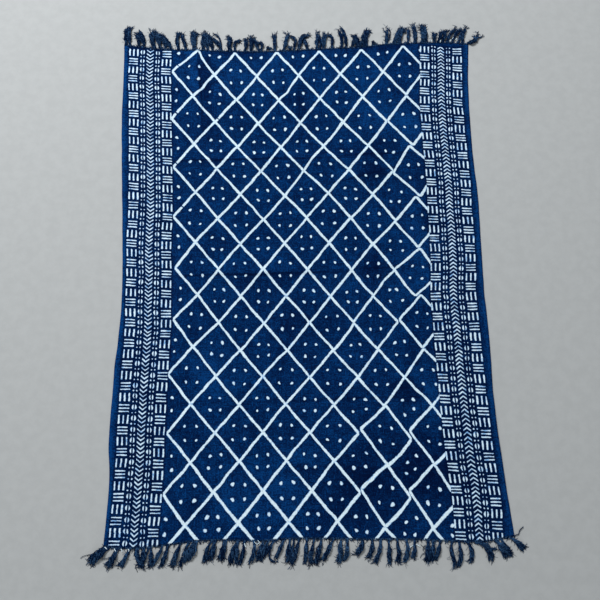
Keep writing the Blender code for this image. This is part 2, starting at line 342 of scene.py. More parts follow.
# One repeat of the border in mm, across from its middle line and along it
BORDER_REPEAT = 70
HALF_REPEAT = BORDER_REPEAT / 2
BORDER_STAMP = 3 * BORDER_REPEAT
BORDER_SLIP = (1.6, 2.6)
BARS_AT = 60
UPRIGHT_BARS = Values(wide=5.0, long=27.0, apart=14.6)
LEVEL_BARS = Values(wide=33, long=3.9, apart=10.2)
BAR_CORNER = 1.4
BEANS = Values(at=27, wide=15.2, long=16.8, slit=5.4, rise=2.8, tilt=0.7)
BORDER_DOT = Values(apart=5.6, wide=4.2)
CHEVRON = Values(wide=24.0, slope=0.76, line=3.5, apart=14, rise=3.0)
BORDER_ENDS = (18, -1802)
FIELD_STARTS_AT = 77
PRINT_STOPS_AT = 872

# How uneven the print is, in mm: clouds of a size that shift its marks by a reach or swell them, where on
# the cloth it was stamped lightly or heavily, and how soft its edges are
SLOW_WOBBLE = Values(size=45.0, detail=1.0, reach=6.0)
QUICK_WOBBLE = Values(size=7.0, detail=2.0, reach=3.0)
BORDER_WOBBLE = 0.6
PRESSURE = Values(size=30.0, swell=4.0)
RAGGED_EDGE = Values(size=3.0, swell=3.4)
LIGHT_PRINT = Values(at=-350, all_within=100.0, none_past=480.0, thinnest=-0.24, fattest=0.10)
HEAVY_PRINT = Values(starts=-560.0, full_at=-860.0, fattest=0.5)
BORDER_SWELL = 0.16
PRINT_EDGE = 0.7

# Dye that pooled beside the white marks, and the white itself, in mm: thin where the dye soaked under it,
# stained in small spots, and greyer over the far part of the field. A grain is a cloud's detail and
# roughness.
POOLED_DYE = Values(starts=-6.0, full_at=-1.0, shade=-0.24)
CROWDED_DYE = Values(starts=-9.0, full_at=-4.0, shade=-0.26)
THIN_WHITE = Values(size=24.0, grain=(3.0, 0.6), starts=0.52, full_at=0.74, depth=1.7)
SOAKED_WHITE = (0.1, 1.5)
STAINS = Values(size=6.0, grain=(3.0, 0.6), starts=0.40, full_at=0.72, shade=0.72)
GREYER_FIELD = Values(starts=-600.0, full_at=350.0, shade=0.87, inside=455.0, outside=475.0)

# Clouds of dye by size in mm, with streaks along the warp and the weft
DYE_CLOUDS = table("way size detail weight", [
    ("all", 120.0, 3.0, 0.7),
    ("all", 34.0, 2.0, 0.6),
    ("all", 12.0, 2.0, 0.9),
    ("all", 4.2, 1.0, 1.9),
    ("warp", 3.0, 1.0, 0.7),
    ("weft", 3.0, 1.0, 0.7),
])
STREAK = 0.06

# The weave, in mm but for its relief
WEAVE = Values(
    warp=1.25, weft=1.45, bend=1.6, bend_size=9.0, bend_grain=(2.0, 0.6),
    slub_size=3.0, slub_grain=(3.0, 0.65), yarns_high=0.7, slubs_high=0.6, heights=(0.1, 0.9),
)
WEAVE_GAP = 0.35
# Painted shade: how much darker the colour is in the weave's valleys between the yarns
VALLEY_SHADE = -0.22
WEAVE_RELIEF = Values(strength=0.5, depth=0.0003)
ROUGHNESS = (0.95, 0.82)
GLOSS = 0.02

# The fringe, lock by lock, in mm: where it leaves the end edge, from the middle line of the cloth, the places
# halfway along it and at its tip, each as x and how far out from its root, and how wide it is
FAR_LOCKS = table("root half_x half_out tip_x tip_out wide", [
    (-635, -635, 38, -629, 78, 14),
    (-620, -624, 42, -619, 82, 13),
    (-586, -590, 35, -598, 59, 15),
    (-564, -576, 44, -589, 62, 15),
    (-530, -540, 41, -543, 75, 17),
    (-506, -518, 41, -535, 72, 15),
    (-482, -502, 42, -523, 64, 15),
    (-464, -486, 35, -508, 60, 15),
    (-440, -445, 41, -444, 69, 13),
    (-412, -423, 39, -429, 72, 13),
    (-382, -385, 43, -385, 76, 18),
    (-376, -376, 47, -364, 66, 7),
    (-347, -348, 43, -344, 79, 16),
    (-328, -337, 41, -332, 68, 15),
    (-310, -324, 39, -337, 63, 15),
    (-281, -299, 34, -321, 59, 13),
    (-279, -292, 57, -311, 72, 6),
    (-249, -252, 32, -253, 59, 16),
    (-230, -229, 35, -205, 38, 11),
    (-194, -189, 33, -191, 54, 13),
    (-169, -173, 34, -174, 67, 15),
    (-141, -154, 31, -162, 58, 13),
    (-136, -132, 28, -149, 34, 11),
    (-112, -107, 11, -96, 6, 8),
    (-84, -83, 39, -84, 76, 13),
    (-51, -39, 37, -39, 82, 13),
    (-26, -27, 7, -25, 13, 11),
    (-12, -11, 38, -32, 62, 11),
    (8, 17, 42, 49, 63, 15),
    (39, 32, 26, 20, 50, 13),
    (73, 74, 33, 78, 72, 13),
    (83, 88, 30, 84, 53, 9),
    (100, 100, 35, 105, 66, 15),
    (129, 128, 37, 115, 62, 11),
    (161, 167, 35, 154, 80, 11),
    (180, 181, 37, 164, 86, 11),
    (205, 213, 34, 213, 53, 15),
    (221, 226, 26, 217, 47, 13),
    (233, 238, 14, 235, 18, 11),
    (251, 249, 40, 268, 68, 17),
    (259, 259, 46, 275, 62, 11),
    (278, 284, 15, 290, 10, 7),
    (330, 333, 30, 331, 74, 12),
    (333, 347, 43, 337, 68, 4),
    (360, 376, 38, 396, 65, 17),
    (380, 385, 37, 402, 62, 18),
    (411, 415, 36, 411, 61, 11),
    (437, 438, 40, 434, 82, 14),
    (465, 470, 35, 459, 77, 17),
    (484, 477, 42, 474, 75, 15),
    (513, 510, 23, 517, 39, 15),
    (526, 530, 24, 544, 45, 13),
    (541, 549, 28, 562, 51, 13),
    (556, 571, 33, 600, 64, 11),
    (575, 590, 31, 612, 60, 11),
    (597, 610, 33, 613, 57, 11),
    (615, 618, 35, 635, 66, 11),
    (633, 656, 11, 673, 46, 15),
    (634, 664, 17, 692, 34, 7),
])
NEAR_LOCKS = table("root half_x half_out tip_x tip_out wide", [
    (-628, -656, 21, -687, 47, 16),
    (-620, -648, 25, -675, 49, 16),
    (-594, -608, 31, -627, 56, 16),
    (-556, -569, 30, -581, 57, 11),
    (-552, -574, 35, -593, 47, 9),
    (-534, -532, 19, -523, 34, 11),
    (-529, -525, 36, -504, 57, 12),
    (-511, -509, 20, -514, 56, 12),
    (-490, -487, 29, -493, 61, 12),
    (-495, -512, 36, -530, 55, 9),
    (-454, -466, 31, -488, 62, 11),
    (-436, -445, 36, -458, 66, 12),
    (-400, -410, 39, -424, 72, 14),
    (-371, -386, 40, -399, 76, 11),
    (-358, -373, 34, -393, 63, 14),
    (-347, -360, 35, -380, 52, 16),
    (-298, -316, 34, -318, 71, 11),
    (-292, -305, 42, -326, 49, 9),
    (-287, -295, 32, -302, 61, 12),
    (-258, -265, 32, -275, 61, 16),
    (-252, -258, 35, -257, 54, 6),
    (-219, -234, 34, -241, 72, 14),
    (-215, -221, 39, -216, 73, 11),
    (-197, -203, 36, -213, 70, 11),
    (-167, -167, 33, -185, 71, 12),
    (-138, -149, 30, -151, 60, 14),
    (-123, -138, 28, -157, 55, 12),
    (-102, -123, 25, -149, 59, 11),
    (-108, -118, 47, -100, 62, 6),
    (-73, -89, 31, -100, 62, 11),
    (-55, -61, 39, -64, 71, 12),
    (-42, -49, 40, -52, 78, 9),
    (-26, -37, 38, -52, 82, 12),
    (-2, -7, 40, -11, 74, 11),
    (21, 11, 42, 8, 82, 12),
    (42, 33, 40, 22, 78, 14),
    (81, 61, 37, 43, 68, 12),
    (102, 100, 37, 91, 73, 14),
    (125, 121, 39, 110, 64, 12),
    (167, 166, 24, 145, 48, 14),
    (202, 197, 30, 181, 56, 12),
    (228, 221, 36, 206, 72, 12),
    (252, 252, 37, 250, 76, 12),
    (280, 281, 37, 276, 76, 12),
    (308, 309, 37, 295, 69, 12),
    (334, 331, 36, 325, 56, 12),
    (375, 373, 35, 366, 64, 16),
    (392, 387, 34, 378, 64, 12),
    (413, 404, 32, 392, 58, 12),
    (450, 447, 38, 456, 80, 11),
    (472, 474, 40, 464, 77, 12),
    (496, 509, 30, 500, 62, 12),
    (524, 560, 18, 570, 63, 16),
    (538, 564, 15, 591, 28, 6),
    (587, 605, 24, 617, 51, 19),
    (604, 619, 28, 638, 51, 12),
    (632, 655, 17, 679, 36, 12),
    (636, 657, 27, 671, 39, 9),
])

# How the locks of each end are laid up from their yarns, in metres but for the shares. Their painted shade
# scale darkens the yarns, the far end's most, since the lamp stands beyond it.
FAR_LOOK = Values(
    swell=1.28, sway=0.0030, fray=1.25, root_spread=0.85, gathered_at=0.28, uneven_ends=0.28,
    spikes=12, fibres=26, palest=0.72, seed=31,
)
NEAR_LOOK = Values(
    swell=1.42, sway=0.0018, fray=1.12, root_spread=0.50, gathered_at=0.42, uneven_ends=0.16,
    spikes=6, fibres=18, palest=0.95, seed=57,
)
LOCK = Values(
    yarns_each_mm=0.72, fewest_yarns=4, order_step=7, least_half_width=0.0004,
    height_share=0.18, least_height=0.0014, most_height=0.0042, root_height=0.0012,
    arch=0.0030, arch_steps=1.25, turn_length=0.075, tucked_in=0.004, tuck_fades=12,
    frays_from=0.70, flattens=0.55, shared_shade=0.25,
)
SWAY = Values(size=0.022, root_step=90, side_step=7.0, grows=2.5, strength=1.6)
YARN = Values(
    radius=0.0015, root_radius=0.0011, sides=5, steps=16, end_share=0.16, tip_share=0.55,
    drift=0.0022, drift_size=0.0095, drift_up=0.5, side_step=3.0,
)

# Thin ends: spikes and fibres that stray from a lock, and fluff along the cut edge. Their numbers are for
# a lock of the typical width, in mm.
SPIKE = Values(
    radius=0.0012, tip_radius=0.0004, length=(0.007, 0.016), sides=4, steps=5, turn=80, leaves_from=0.65,
)
FIBRE = Values(
    radius=0.0006, tip_radius=0.0003, length=(0.008, 0.018), sides=3, steps=6, turn=120, leaves_from=0.15,
)
STRAY = Values(starts_within=0.42, outward=0.65, swerve=60, at_once=0.6, height=(0.0006, 0.0034), settles=1.4)
# The fluff is real, but it is laid dense and long partly as painted shade: its dark ends darken the floor
# between the locks' roots
FLUFF = Values(
    radius=0.0013, tip_radius=0.0005, length=(0.008, 0.020), sides=3, steps=5, turn=80,
    apart=0.0022, place=(0.1, 0.9), curl=0.5, starts_up=0.8,
)
THIN_END_SHADES = (0.1, 1)
VECTOR_NOISE_SEED = 5
TYPICAL_LOCK = 14
GOLDEN_TURN = math.pi * (3 - math.sqrt(5))

# Each tube's own cell on the bake map, with its end caps as small rings in the cell's margin
CELLS_ACROSS = 48
CELL_MARGIN = 0.08
CAP = Values(first=0.25, apart=0.5, reach=0.3)

# Threads that lie by themselves, in mm: their places from the middle of the cloth, their height over the
# floor and how thick they are. The pale ones are warp ends that carry some of the print.
LOOSE_THREADS = table("places up thick pale", [
    ([(676, -838), (664, -848), (658, -860), (648, -863), (643, -873)], 2, 2.6, False),
    ([(-668, -893), (-687, -896), (-700, -900), (-707, -905)], 1, 1.6, False),
    ([(-656, -901), (-640, -908), (-628, -907), (-615, -903)], 2, 1.8, False),
    ([(-530, -925), (-535, -934), (-531, -941), (-528, -948)], 1, 1.8, False),
    ([(352, -884), (362, -896), (365, -907), (353, -915), (348, -924)], 1, 1.4, False),
    ([(366, -886), (358, -899), (370, -912), (378, -905)], 1, 1.2, False),
    ([(316, -893), (328, -886), (338, -884), (349, -890)], 3, 1.6, True),
    ([(-165, -866), (-158, -873), (-150, -868), (-155, -862)], 6, 1.6, True),
    ([(-196, -870), (-195, -876), (-193, -881)], 4, 2.4, True),
    ([(-632, -873), (-629, -875), (-625, -879)], 4, 2.4, True),
    ([(-602, -878), (-599, -883), (-597, -886)], 4, 2.6, True),
    ([(-581, -879), (-578, -883), (-577, -888)], 4, 2.4, True),
    ([(-559, -880), (-556, -883), (-556, -887)], 4, 2.4, True),
    ([(576, 878), (580, 883), (583, 885)], 6, 2.4, True),
    ([(588, 872), (591, 877), (592, 880)], 6, 2.2, True),
    ([(530, 864), (531, 869), (534, 873)], 6, 2.0, True),
    ([(566, 867), (568, 871), (572, 874)], 6, 2.2, True),
    ([(497, 867), (498, 872), (497, 875)], 6, 1.8, True),
])
THREAD_POINTS = 5
THREAD_LIFT = 1
THREAD_SHADE = 0.3
PALE_YARN = 3.0
PALE_FROM = (0.5 * PALE_YARN, 0.8 * PALE_YARN)

# The twist, fibres and clumped tones of the yarn's colour, in mm but for the relief's depth. The lift on the
# twist's turns is a painted highlight, and the clumped lift is painted light and shade for the locks' lit and
# shaded twists.
TWIST = Values(length=3.4, plies=2.0, lift=0.12, high=0.5)
YARN_FIBRES = Values(size=1.6, grain=(3.0, 0.7), tones=(0.3, 0.7), lift=0.6, high=0.5)
YARN_PAINTED_LIGHT_CLUMPS = Values(size=5.5, grain=(2.0, 0.6), lift=1.5)
YARN_SHADE_LIFT = 0.7
YARN_DYE_PALE = -0.1
YARN_LIT = (0.48, 1.15)
YARN_RELIEF = Values(strength=0.6, depth=0.0003)

# Colours, as linear values
DYE_DEEP = (0.0001, 0.0046, 0.031, 1)
DYE_BODY = (0.0007, 0.0151, 0.073, 1)
DYE_PALE = (0.0018, 0.0420, 0.174, 1)
PRINT_WHITE = (0.73, 0.90, 1.0, 1)
PRINT_THIN = (0.23, 0.48, 0.87, 1)
YARN_DARK = (0.0004, 0.0054, 0.026, 1)
YARN_LIGHT = (0.0300, 0.0820, 0.180, 1)
FLOOR_COLOUR = (0.380, 0.398, 0.406, 1)

# The floor, the light and the camera, which is above the near half of the throw and tilted to its far end
FLOOR = Values(
    half=12.0, below=0.0004, mottle=0.035, grain=(4.0, 0.6), clouds=(0.3, 0.7), tones=(0.97, 1.03),
    roughness=0.85, gloss=0.1,
)
ROOM_LIGHT = Values(colour=(0.96, 0.99, 1.0, 1), strength=0.437)
WINDOW = Values(place=(-1.9, 3.6, 4.2), size=2.0, power=358, colour=(1.0, 0.99, 0.98))
CAMERA = Values(place=(-0.0033, -0.5203, 1.9881), tilt=11.84, roll=-1.16, lens=36, sensor=36)

# How nodes are spaced in their trees, and the middle of what a noise gives
NODE_STEP = 180
NODE_ROW = 12
HALVES = (0.5, 0.5, 0.5)


def smooth_curve(keys, values, place):
    """Read a smooth curve through rows of values. A row may be one number, or one number for each place."""
    keys = np.asarray(keys, float)
    values = np.asarray(values, float)
    last = len(keys) - 1
    low = np.clip(np.searchsorted(keys, place) - 1, 0, last - 1)
    high = low + 1
    before = np.maximum(low - 1, 0)
    after = np.minimum(high + 1, last)
    if values.ndim == 1:
        values = np.repeat(values[:, None], len(place), axis=1)
    own = np.arange(len(place))
    span = keys[high] - keys[low]
    share = (place - keys[low]) / span
    leave = (values[high, own] - values[before, own]) / (keys[high] - keys[before]) * span
    arrive = (values[after, own] - values[low, own]) / (keys[after] - keys[low]) * span
    square = share ** 2
    cube = share ** 3
    return (
        (2 * cube - 3 * square + 1) * values[low, own]
        + (cube - 2 * square + share) * leave
        + (3 * square - 2 * cube) * values[high, own]
        + (cube - square) * arrive
    )


def read_table(rows, key, value, place):
    """Read one column of a table at places between its rows."""
    return smooth_curve([getattr(row, key) for row in rows], [getattr(row, value) for row in rows], place)


def between(low, high, share):
    """The value a share of the way from one number to another."""
    return low + (high - low) * share


def eased(share):
    """A share from 0 to 1 that leaves and arrives gently."""
    return share * share * (3 - 2 * share)


def unevenness(x, y, size, seed):
    """Smooth noise from -1 to 1 at each place, with bumps about as long as size."""
    shift = NOISE_SHIFT * seed
    return np.array([noise.noise(Vector((*place, 0)) / size + shift) for place in zip(x, y)])


def link_piece(name, mesh):
    piece = bpy.data.objects.new(name, mesh)
    bpy.context.scene.collection.objects.link(piece)
    return piece


def add_map(mesh, name, u, v):
    """Give a mesh a UV map from the two coordinates of each of its face corners."""
    layer = mesh.uv_layers.new(name=name)
    layer.data.foreach_set("uv", np.stack([u, v], axis=-1).astype(np.float32).ravel())


def add_shades(mesh, name, shades):
    """Give a mesh one number for each of its points, which its material reads."""
    mesh.attributes.new(name, "FLOAT", "POINT").data.foreach_set("value", shades)


# The cloth

def sheet_places(across, along):
    """Places of points of the sheet, from their shares of its width and length."""
    left = -CLOTH_WIDTH / 2 - read_table(SIDE_EDGES, "along", "left", along) * MM
    right = CLOTH_WIDTH / 2 + read_table(SIDE_EDGES, "along", "right", along) * MM
    near = -CLOTH_LENGTH / 2 - read_table(END_EDGES, "across", "near", across) * MM
    far = CLOTH_LENGTH / 2 + read_table(END_EDGES, "across", "far", across) * MM
    return between(left, right, across), between(near, far, along)


def grid_lines(count, length, fine_places):
    """Shares of a length for the lines of a grid, which stand closer around the fine places."""
    shares = np.linspace(0, 1, GRID_SAMPLES)
    density = np.ones_like(shares)
    for place in fine_places:
        off = (shares - 0.5) * length - place * MM
        density += FINE_BAND.times * np.exp(-(off / FINE_BAND.reach) ** 2)
    gone = np.concatenate([[0.0], np.cumsum(density[1:] + density[:-1])])
    return np.interp(np.linspace(0, 1, count + 1), gone / gone[-1], shares)


def turned_offsets(row, x, y):
    """How far places lie from the middle of a table's row, along its own direction and to the left of it."""
    turn = math.radians(row.turn)
    off_x = x - row.x * MM
    off_y = y - row.y * MM
    return off_x * math.cos(turn) + off_y * math.sin(turn), off_y * math.cos(turn) - off_x * math.sin(turn)


def fold_offsets(fold, x, y):
    """How strong a fold line is at each place, and how far in mm the place lies to its gentle side."""
    lengthwise, sideways = turned_offsets(fold, x, y)
    wander = FOLD_WANDER.out * unevenness(x, y, FOLD_WANDER.size, FOLD_WANDER.seed)
    fade = np.clip(1 - np.abs(lengthwise) / (fold.long * MM / 2), 0, 1) ** FOLD_FADE
    return fade, (sideways + wander) / MM


def sheet_heights(flat_x, flat_y, laid_x, laid_y):
    """Heights of the underside over the floor: creases, fold lines, and how unevenly it lies between them."""
    crease_rise = np.zeros_like(flat_x)
    for crease in CREASES:
        lengthwise, sideways = turned_offsets(crease, flat_x, flat_y)
        fade = np.clip(1 - np.abs(lengthwise / (crease.long * MM / 2)), 0, 1) ** CREASE_FADE
        crest = np.clip(1 - np.abs(sideways / (crease.wide * MM / 2)), 0, 1) ** CREASE_CREST
        crease_rise = np.maximum(crease_rise, crease.high * MM * fade * crest)
    fold_rise = np.zeros_like(flat_x)
    for fold in FOLD_LINES:
        fade, sideways = fold_offsets(fold, laid_x, laid_y)
        gentle = np.clip(1 - sideways / fold.wide, 0, 1) ** FOLD_SLOPE
        steep = eased(np.clip(1 + sideways / fold.drop, 0, 1))
        fold_rise = np.maximum(fold_rise, fold.high * MM * fade * np.where(sideways > 0, gentle, steep))
    height = crease_rise + fold_rise
    from_edge = np.minimum(CLOTH_WIDTH / 2 - np.abs(flat_x), CLOTH_LENGTH / 2 - np.abs(flat_y))
    settled = np.clip(from_edge / EDGE_REST, EDGE_LIFT, 1)
    for ripple in RIPPLES:
        lifted = 0.5 + 0.5 * unevenness(flat_x, flat_y, ripple.size, ripple.seed)
        height = height + settled * ripple.high * lifted
    return height


def dye_and_painted_shades(flat_x, laid_x, laid_y):
    """How much paler, above 0, or darker each place is: dye, painted shade and light, and the selvedges."""
    x = laid_x + PATCH_WANDER.out * unevenness(laid_x, laid_y, PATCH_WANDER.size, PATCH_WANDER.seed_x)
    y = laid_y + PATCH_WANDER.out * unevenness(laid_x, laid_y, PATCH_WANDER.size, PATCH_WANDER.seed_y)
    shade = np.zeros_like(flat_x)
    # Some patches are dye, others painted light and shade of the creases and a painted shadow at the far edge
    for patch in DYE_AND_PAINTED_SHADE_PATCHES:
        off_x = (x - patch.x * MM) / (patch.wide * MM / 2)
        off_y = (y - patch.y * MM) / (patch.long * MM / 2)
        shade += patch.shade * np.clip(1 - (off_x ** 2 + off_y ** 2) / PATCH_SPREAD, 0, 1)
    # Painted shade: a darker stripe along the steep side of each fold line, where it turns from the lamp
    for fold in FOLD_LINES:
        fade, sideways = fold_offsets(fold, laid_x, laid_y)
        off_line = (sideways + fold.drop / 2) / FOLD_PAINTED_SHADE_WIDE
        shade -= fold.dark * fade * np.exp(-off_line ** 2)
    from_edge = (CLOTH_WIDTH / 2 - np.abs(flat_x)) / MM
    strip = np.clip((SELVEDGE.wide - from_edge) / SELVEDGE.soft + 0.5, 0, 1)
    return shade + strip * np.where(flat_x < 0, SELVEDGE.left, SELVEDGE.right)


def seen_on_floor(x, y, height):
    """Where the photo's camera sees a raised place over the floor, which is how the print was charted."""
    share = height / (CAMERA.place[2] - height)
    foot_x = CAMERA.place[0] - CLOTH_MIDDLE[0]
    foot_y = CAMERA.place[1] - CLOTH_MIDDLE[1]
    return x + (x - foot_x) * share, y + (y - foot_y) * share


def slipped(x, y, slips):
    """Where the places would lie if the printed marks kept to their rows."""
    kept_x = x.copy()
    kept_y = y.copy()
    for slip in slips:
        away = np.hypot(x / MM - slip.x, y / MM - slip.y) / slip.reach
        pull = np.exp(-away ** 2) * MM
        kept_x -= slip.right * pull
        kept_y -= slip.up * pull
    return kept_x, kept_y


def field_chart(x, y):
    """How many columns and rows of blocks each place lies from the field's far left corner."""
    column = (x / MM - FIELD_CORNER[0]) / BLOCK_SIZE[0]
    row = (FIELD_CORNER[1] - y / MM) / BLOCK_SIZE[1]
    keys = [charted.column for charted in CHARTED_COLUMNS]
    for _ in range(CHART_ROUNDS):
        found_x = [read_table(FIELD_ROWS, "row", charted.x, row) for charted in CHARTED_COLUMNS]
        found_y = [read_table(FIELD_ROWS, "row", charted.y, row) for charted in CHARTED_COLUMNS]
        off_x = np.clip(x / MM - smooth_curve(keys, found_x, column), -CHART_STEP, CHART_STEP)
        off_y = np.clip(y / MM - smooth_curve(keys, found_y, column), -CHART_STEP, CHART_STEP)
        column = np.clip(column + off_x / BLOCK_SIZE[0], *CHARTED_ACROSS)
        row = np.clip(row - off_y / BLOCK_SIZE[1], *CHARTED_ALONG)
    return column, row


def one_border_chart(x, y, side, border):
    """Each place in one border, in mm across from its middle line and along it."""
    rows = BORDER_LINES[::-1]
    out = x / MM - read_table(rows, "y", side, y / MM)
    drop = read_table(rows, "y", side + "_drop", y / MM) * (out + BARS_AT) / (2 * BARS_AT)
    slip = drop - read_table(rows, "y", side + "_up", y / MM)
    return out, (y / MM + slip - border.start) * BORDER_REPEAT / border.repeat


def border_chart(x, y):
    """Each place in its own border, in metres across from the middle line and along.

    The right border is the left one turned half a turn, and its repeats are counted on from a shift, so
    that both borders end between the same two places.
    """
    left_out, left_up = one_border_chart(x, y, "left", LEFT_BORDER)
    right_out, right_up = one_border_chart(x, y, "right", RIGHT_BORDER)
    right_up = -right_up - RIGHT_SHIFT * BORDER_REPEAT
    on_left = x < 0
    return np.where(on_left, left_out, -right_out) * MM, np.where(on_left, left_up, right_up) * MM


def sheet_faces(count):
    """Faces of the upper side, the underside and the rim, from the number of points of one side."""
    wide = GRID_ACROSS + 1
    corner = (np.arange(GRID_ALONG)[:, None] * wide + np.arange(GRID_ACROSS)).ravel()
    upper = np.stack([corner, corner + 1, corner + wide + 1, corner + wide], axis=-1)
    rim = np.concatenate([
        np.arange(GRID_ACROSS),
        np.arange(GRID_ALONG) * wide + GRID_ACROSS,
        np.arange(GRID_ACROSS, 0, -1) + GRID_ALONG * wide,
        np.arange(GRID_ALONG, 0, -1) * wide,
    ])
    following = np.roll(rim, -1)
    return upper, upper[:, ::-1] + count, np.stack([rim, rim + count, following + count, following], axis=-1)


def bake_places(across, along, side_corners, rim_length):
    """Where each face corner lies on the bake map: the upper side, the rim and the underside side by side."""
    map_u = across * UPPER_SHARE_OF_MAP
    map_v = along.copy()
    map_u[side_corners:] = between(UNDER_START_ON_MAP, 1, across[side_corners:])
    step = np.repeat(np.arange(rim_length), 4) + np.tile([0, 0, 1, 1], rim_length)
    map_u[2 * side_corners:] = np.tile([*RIM_ON_MAP, *RIM_ON_MAP[::-1]], rim_length)
    map_v[2 * side_corners:] = step / rim_length
    return map_u, map_v


def build_cloth():
    """The sheet: a fine grid on the outline and the creases, closed by an underside and a rim."""
    column_shares = grid_lines(GRID_ACROSS, CLOTH_WIDTH, FINE_COLUMNS)
    row_shares = grid_lines(GRID_ALONG, CLOTH_LENGTH, FINE_ROWS)
    across, along = (grid.ravel() for grid in np.meshgrid(column_shares, row_shares))
    flat_x = (across - 0.5) * CLOTH_WIDTH
    flat_y = (along - 0.5) * CLOTH_LENGTH
    laid_x, laid_y = sheet_places(across, along)
    x = laid_x + EDGE_WAVE.out * unevenness(laid_x, laid_y, EDGE_WAVE.size, EDGE_WAVE.seed_x)
    y = laid_y + EDGE_WAVE.out * unevenness(laid_x, laid_y, EDGE_WAVE.size, EDGE_WAVE.seed_y)
    height = sheet_heights(flat_x, flat_y, laid_x, laid_y)
    under = np.stack([x + CLOTH_MIDDLE[0], y + CLOTH_MIDDLE[1], height], axis=-1)
    points = np.concatenate([under + np.array([0, 0, CLOTH_THICKNESS]), under])
    upper_faces, under_faces, rim_faces = sheet_faces(len(under))
    faces = np.concatenate([upper_faces, under_faces, rim_faces])

    mesh = bpy.data.meshes.new("printed_throw")
    mesh.from_pydata(points.tolist(), [], faces.tolist())
    mesh.shade_smooth()
    place = faces.ravel() % len(under)
    add_map(mesh, "OFBake", *bake_places(across[place], along[place], upper_faces.size, len(rim_faces)))
    add_map(mesh, "flat_cloth", flat_x[place], flat_y[place])
    seen = seen_on_floor(laid_x, laid_y, height + CLOTH_THICKNESS)
    field = field_chart(*slipped(*seen, PRINT_SLIPS))
    border = border_chart(*slipped(*seen, BORDER_SLIPS))
    add_map(mesh, "field_chart", field[0][place], field[1][place])
    add_map(mesh, "border_chart", border[0][place], border[1][place])
    add_shades(mesh, "dye_and_painted_shade", np.tile(dye_and_painted_shades(flat_x, laid_x, laid_y), 2).astype(np.float32))

    cloth = link_piece("printed_throw", mesh)
    cloth.data.materials.append(printed_cotton())
    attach(cloth, "root")
    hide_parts("throw_cloth")
    return cloth


# The fringe

def end_edge(x, side):
    """The y of an end edge of the cloth at x; side is 1 for the far end and -1 for the near one."""
    stations = np.linspace(0, 1, GRID_ACROSS + 1)
    edge_x, edge_y = sheet_places(stations, np.full_like(stations, 1.0 if side > 0 else 0.0))
    return float(np.interp(x, edge_x, edge_y))


def plan_lock(lock, side):
    """The three places on the floor that a lock passes: its root, halfway along and its tip."""
    edge = end_edge(lock.root * MM, side)
    places = ((lock.root, 0), (lock.half_x, lock.half_out), (lock.tip_x, lock.tip_out))
    return [Vector((x * MM, edge + side * out * MM)) for x, out in places]


def lock_line(line, side, share, sway):
    """A lock's middle line, through its three places with some sway, and which way it runs there."""
    root, halfway, tip = line
    bend = halfway * 2 - (root + tip) / 2
    place = root * (1 - share) ** 2 + bend * 2 * share * (1 - share) + tip * share ** 2
    way = ((bend - root) * (1 - share) + (tip - bend) * share).normalized()
    along = share * (tip - root).length / SWAY.size
    off = noise.noise_vector(Vector((along, root.x * SWAY.root_step, side * SWAY.side_step)))
    return place + Vector((off.x, off.y)) * sway * min(share * SWAY.grows, 1.0) * SWAY.strength, way


def lay_yarn(lock, line, side, look, spot, drawn, tail, seed):
    """Points and radii of one yarn of a lock. Its spot in the lock's section is a distance and a turn."""
    length = (line[2] - line[0]).length
    wide = lock.wide * look.swell * MM
    half_wide = max(wide / 2 - YARN.radius, LOCK.least_half_width)
    half_high = min(max(wide * LOCK.height_share, LOCK.least_height), LOCK.most_height)
    tapers_from = 1 - YARN.end_share
    points = []
    radii = []
    for step in range(YARN.steps):
        share = step / (YARN.steps - 1) * tail
        middle, way = lock_line(line, side, share, look.sway)
        gathered = eased(min(share / look.gathered_at, 1.0))
        opened = max(share - LOCK.frays_from, 0) / (1 - LOCK.frays_from)
        turn = spot[1] + math.tau * share * length / LOCK.turn_length
        around = spot[0] * math.cos(turn) * (1 + (look.fray - 1) * opened)
        across = between(drawn * look.root_spread, around, gathered) * half_wide
        drift = noise.noise_vector(Vector((share * length / YARN.drift_size, seed, side * YARN.side_step)))
        across += drift.x * YARN.drift * gathered * (1 + opened)
        level = half_high * (1 + spot[0] * math.sin(turn)) * (1 - LOCK.flattens * opened)
        arch = LOCK.arch * math.sin(math.pi * min(share * LOCK.arch_steps, 1.0))
        above = between(LOCK.root_height, level + arch + drift.y * YARN.drift * YARN.drift_up, gathered)
        radius = between(YARN.root_radius, YARN.radius, min(share / YARN.end_share, 1.0))
        if share > tapers_from * tail:
            radius *= between(1.0, YARN.tip_share, (share / tail - tapers_from) / YARN.end_share)
        tuck = LOCK.tucked_in * max(1 - share * LOCK.tuck_fades, 0)
        place = middle + Vector((way.y, -way.x)) * across - way * tuck
        points.append(Vector((place.x, place.y, radius + max(above, 0))))
        radii.append(radius)
    return points, radii


def lay_thin_end(kind, place, heading, bend, stride, rise, settles=1.0):
    """Points and radii of a thin end that leaves a place, bends at each step and settles on the floor."""
    points = []
    radii = []
    for step in range(kind.steps):
        gone = step / (kind.steps - 1)
        radius = between(kind.radius, kind.tip_radius, gone)
        points.append(Vector((place.x, place.y, radius + rise * (1 - gone) ** settles)))
        radii.append(radius)
        heading += bend
        place = place + Vector((math.cos(heading), math.sin(heading))) * stride
    return points, radii


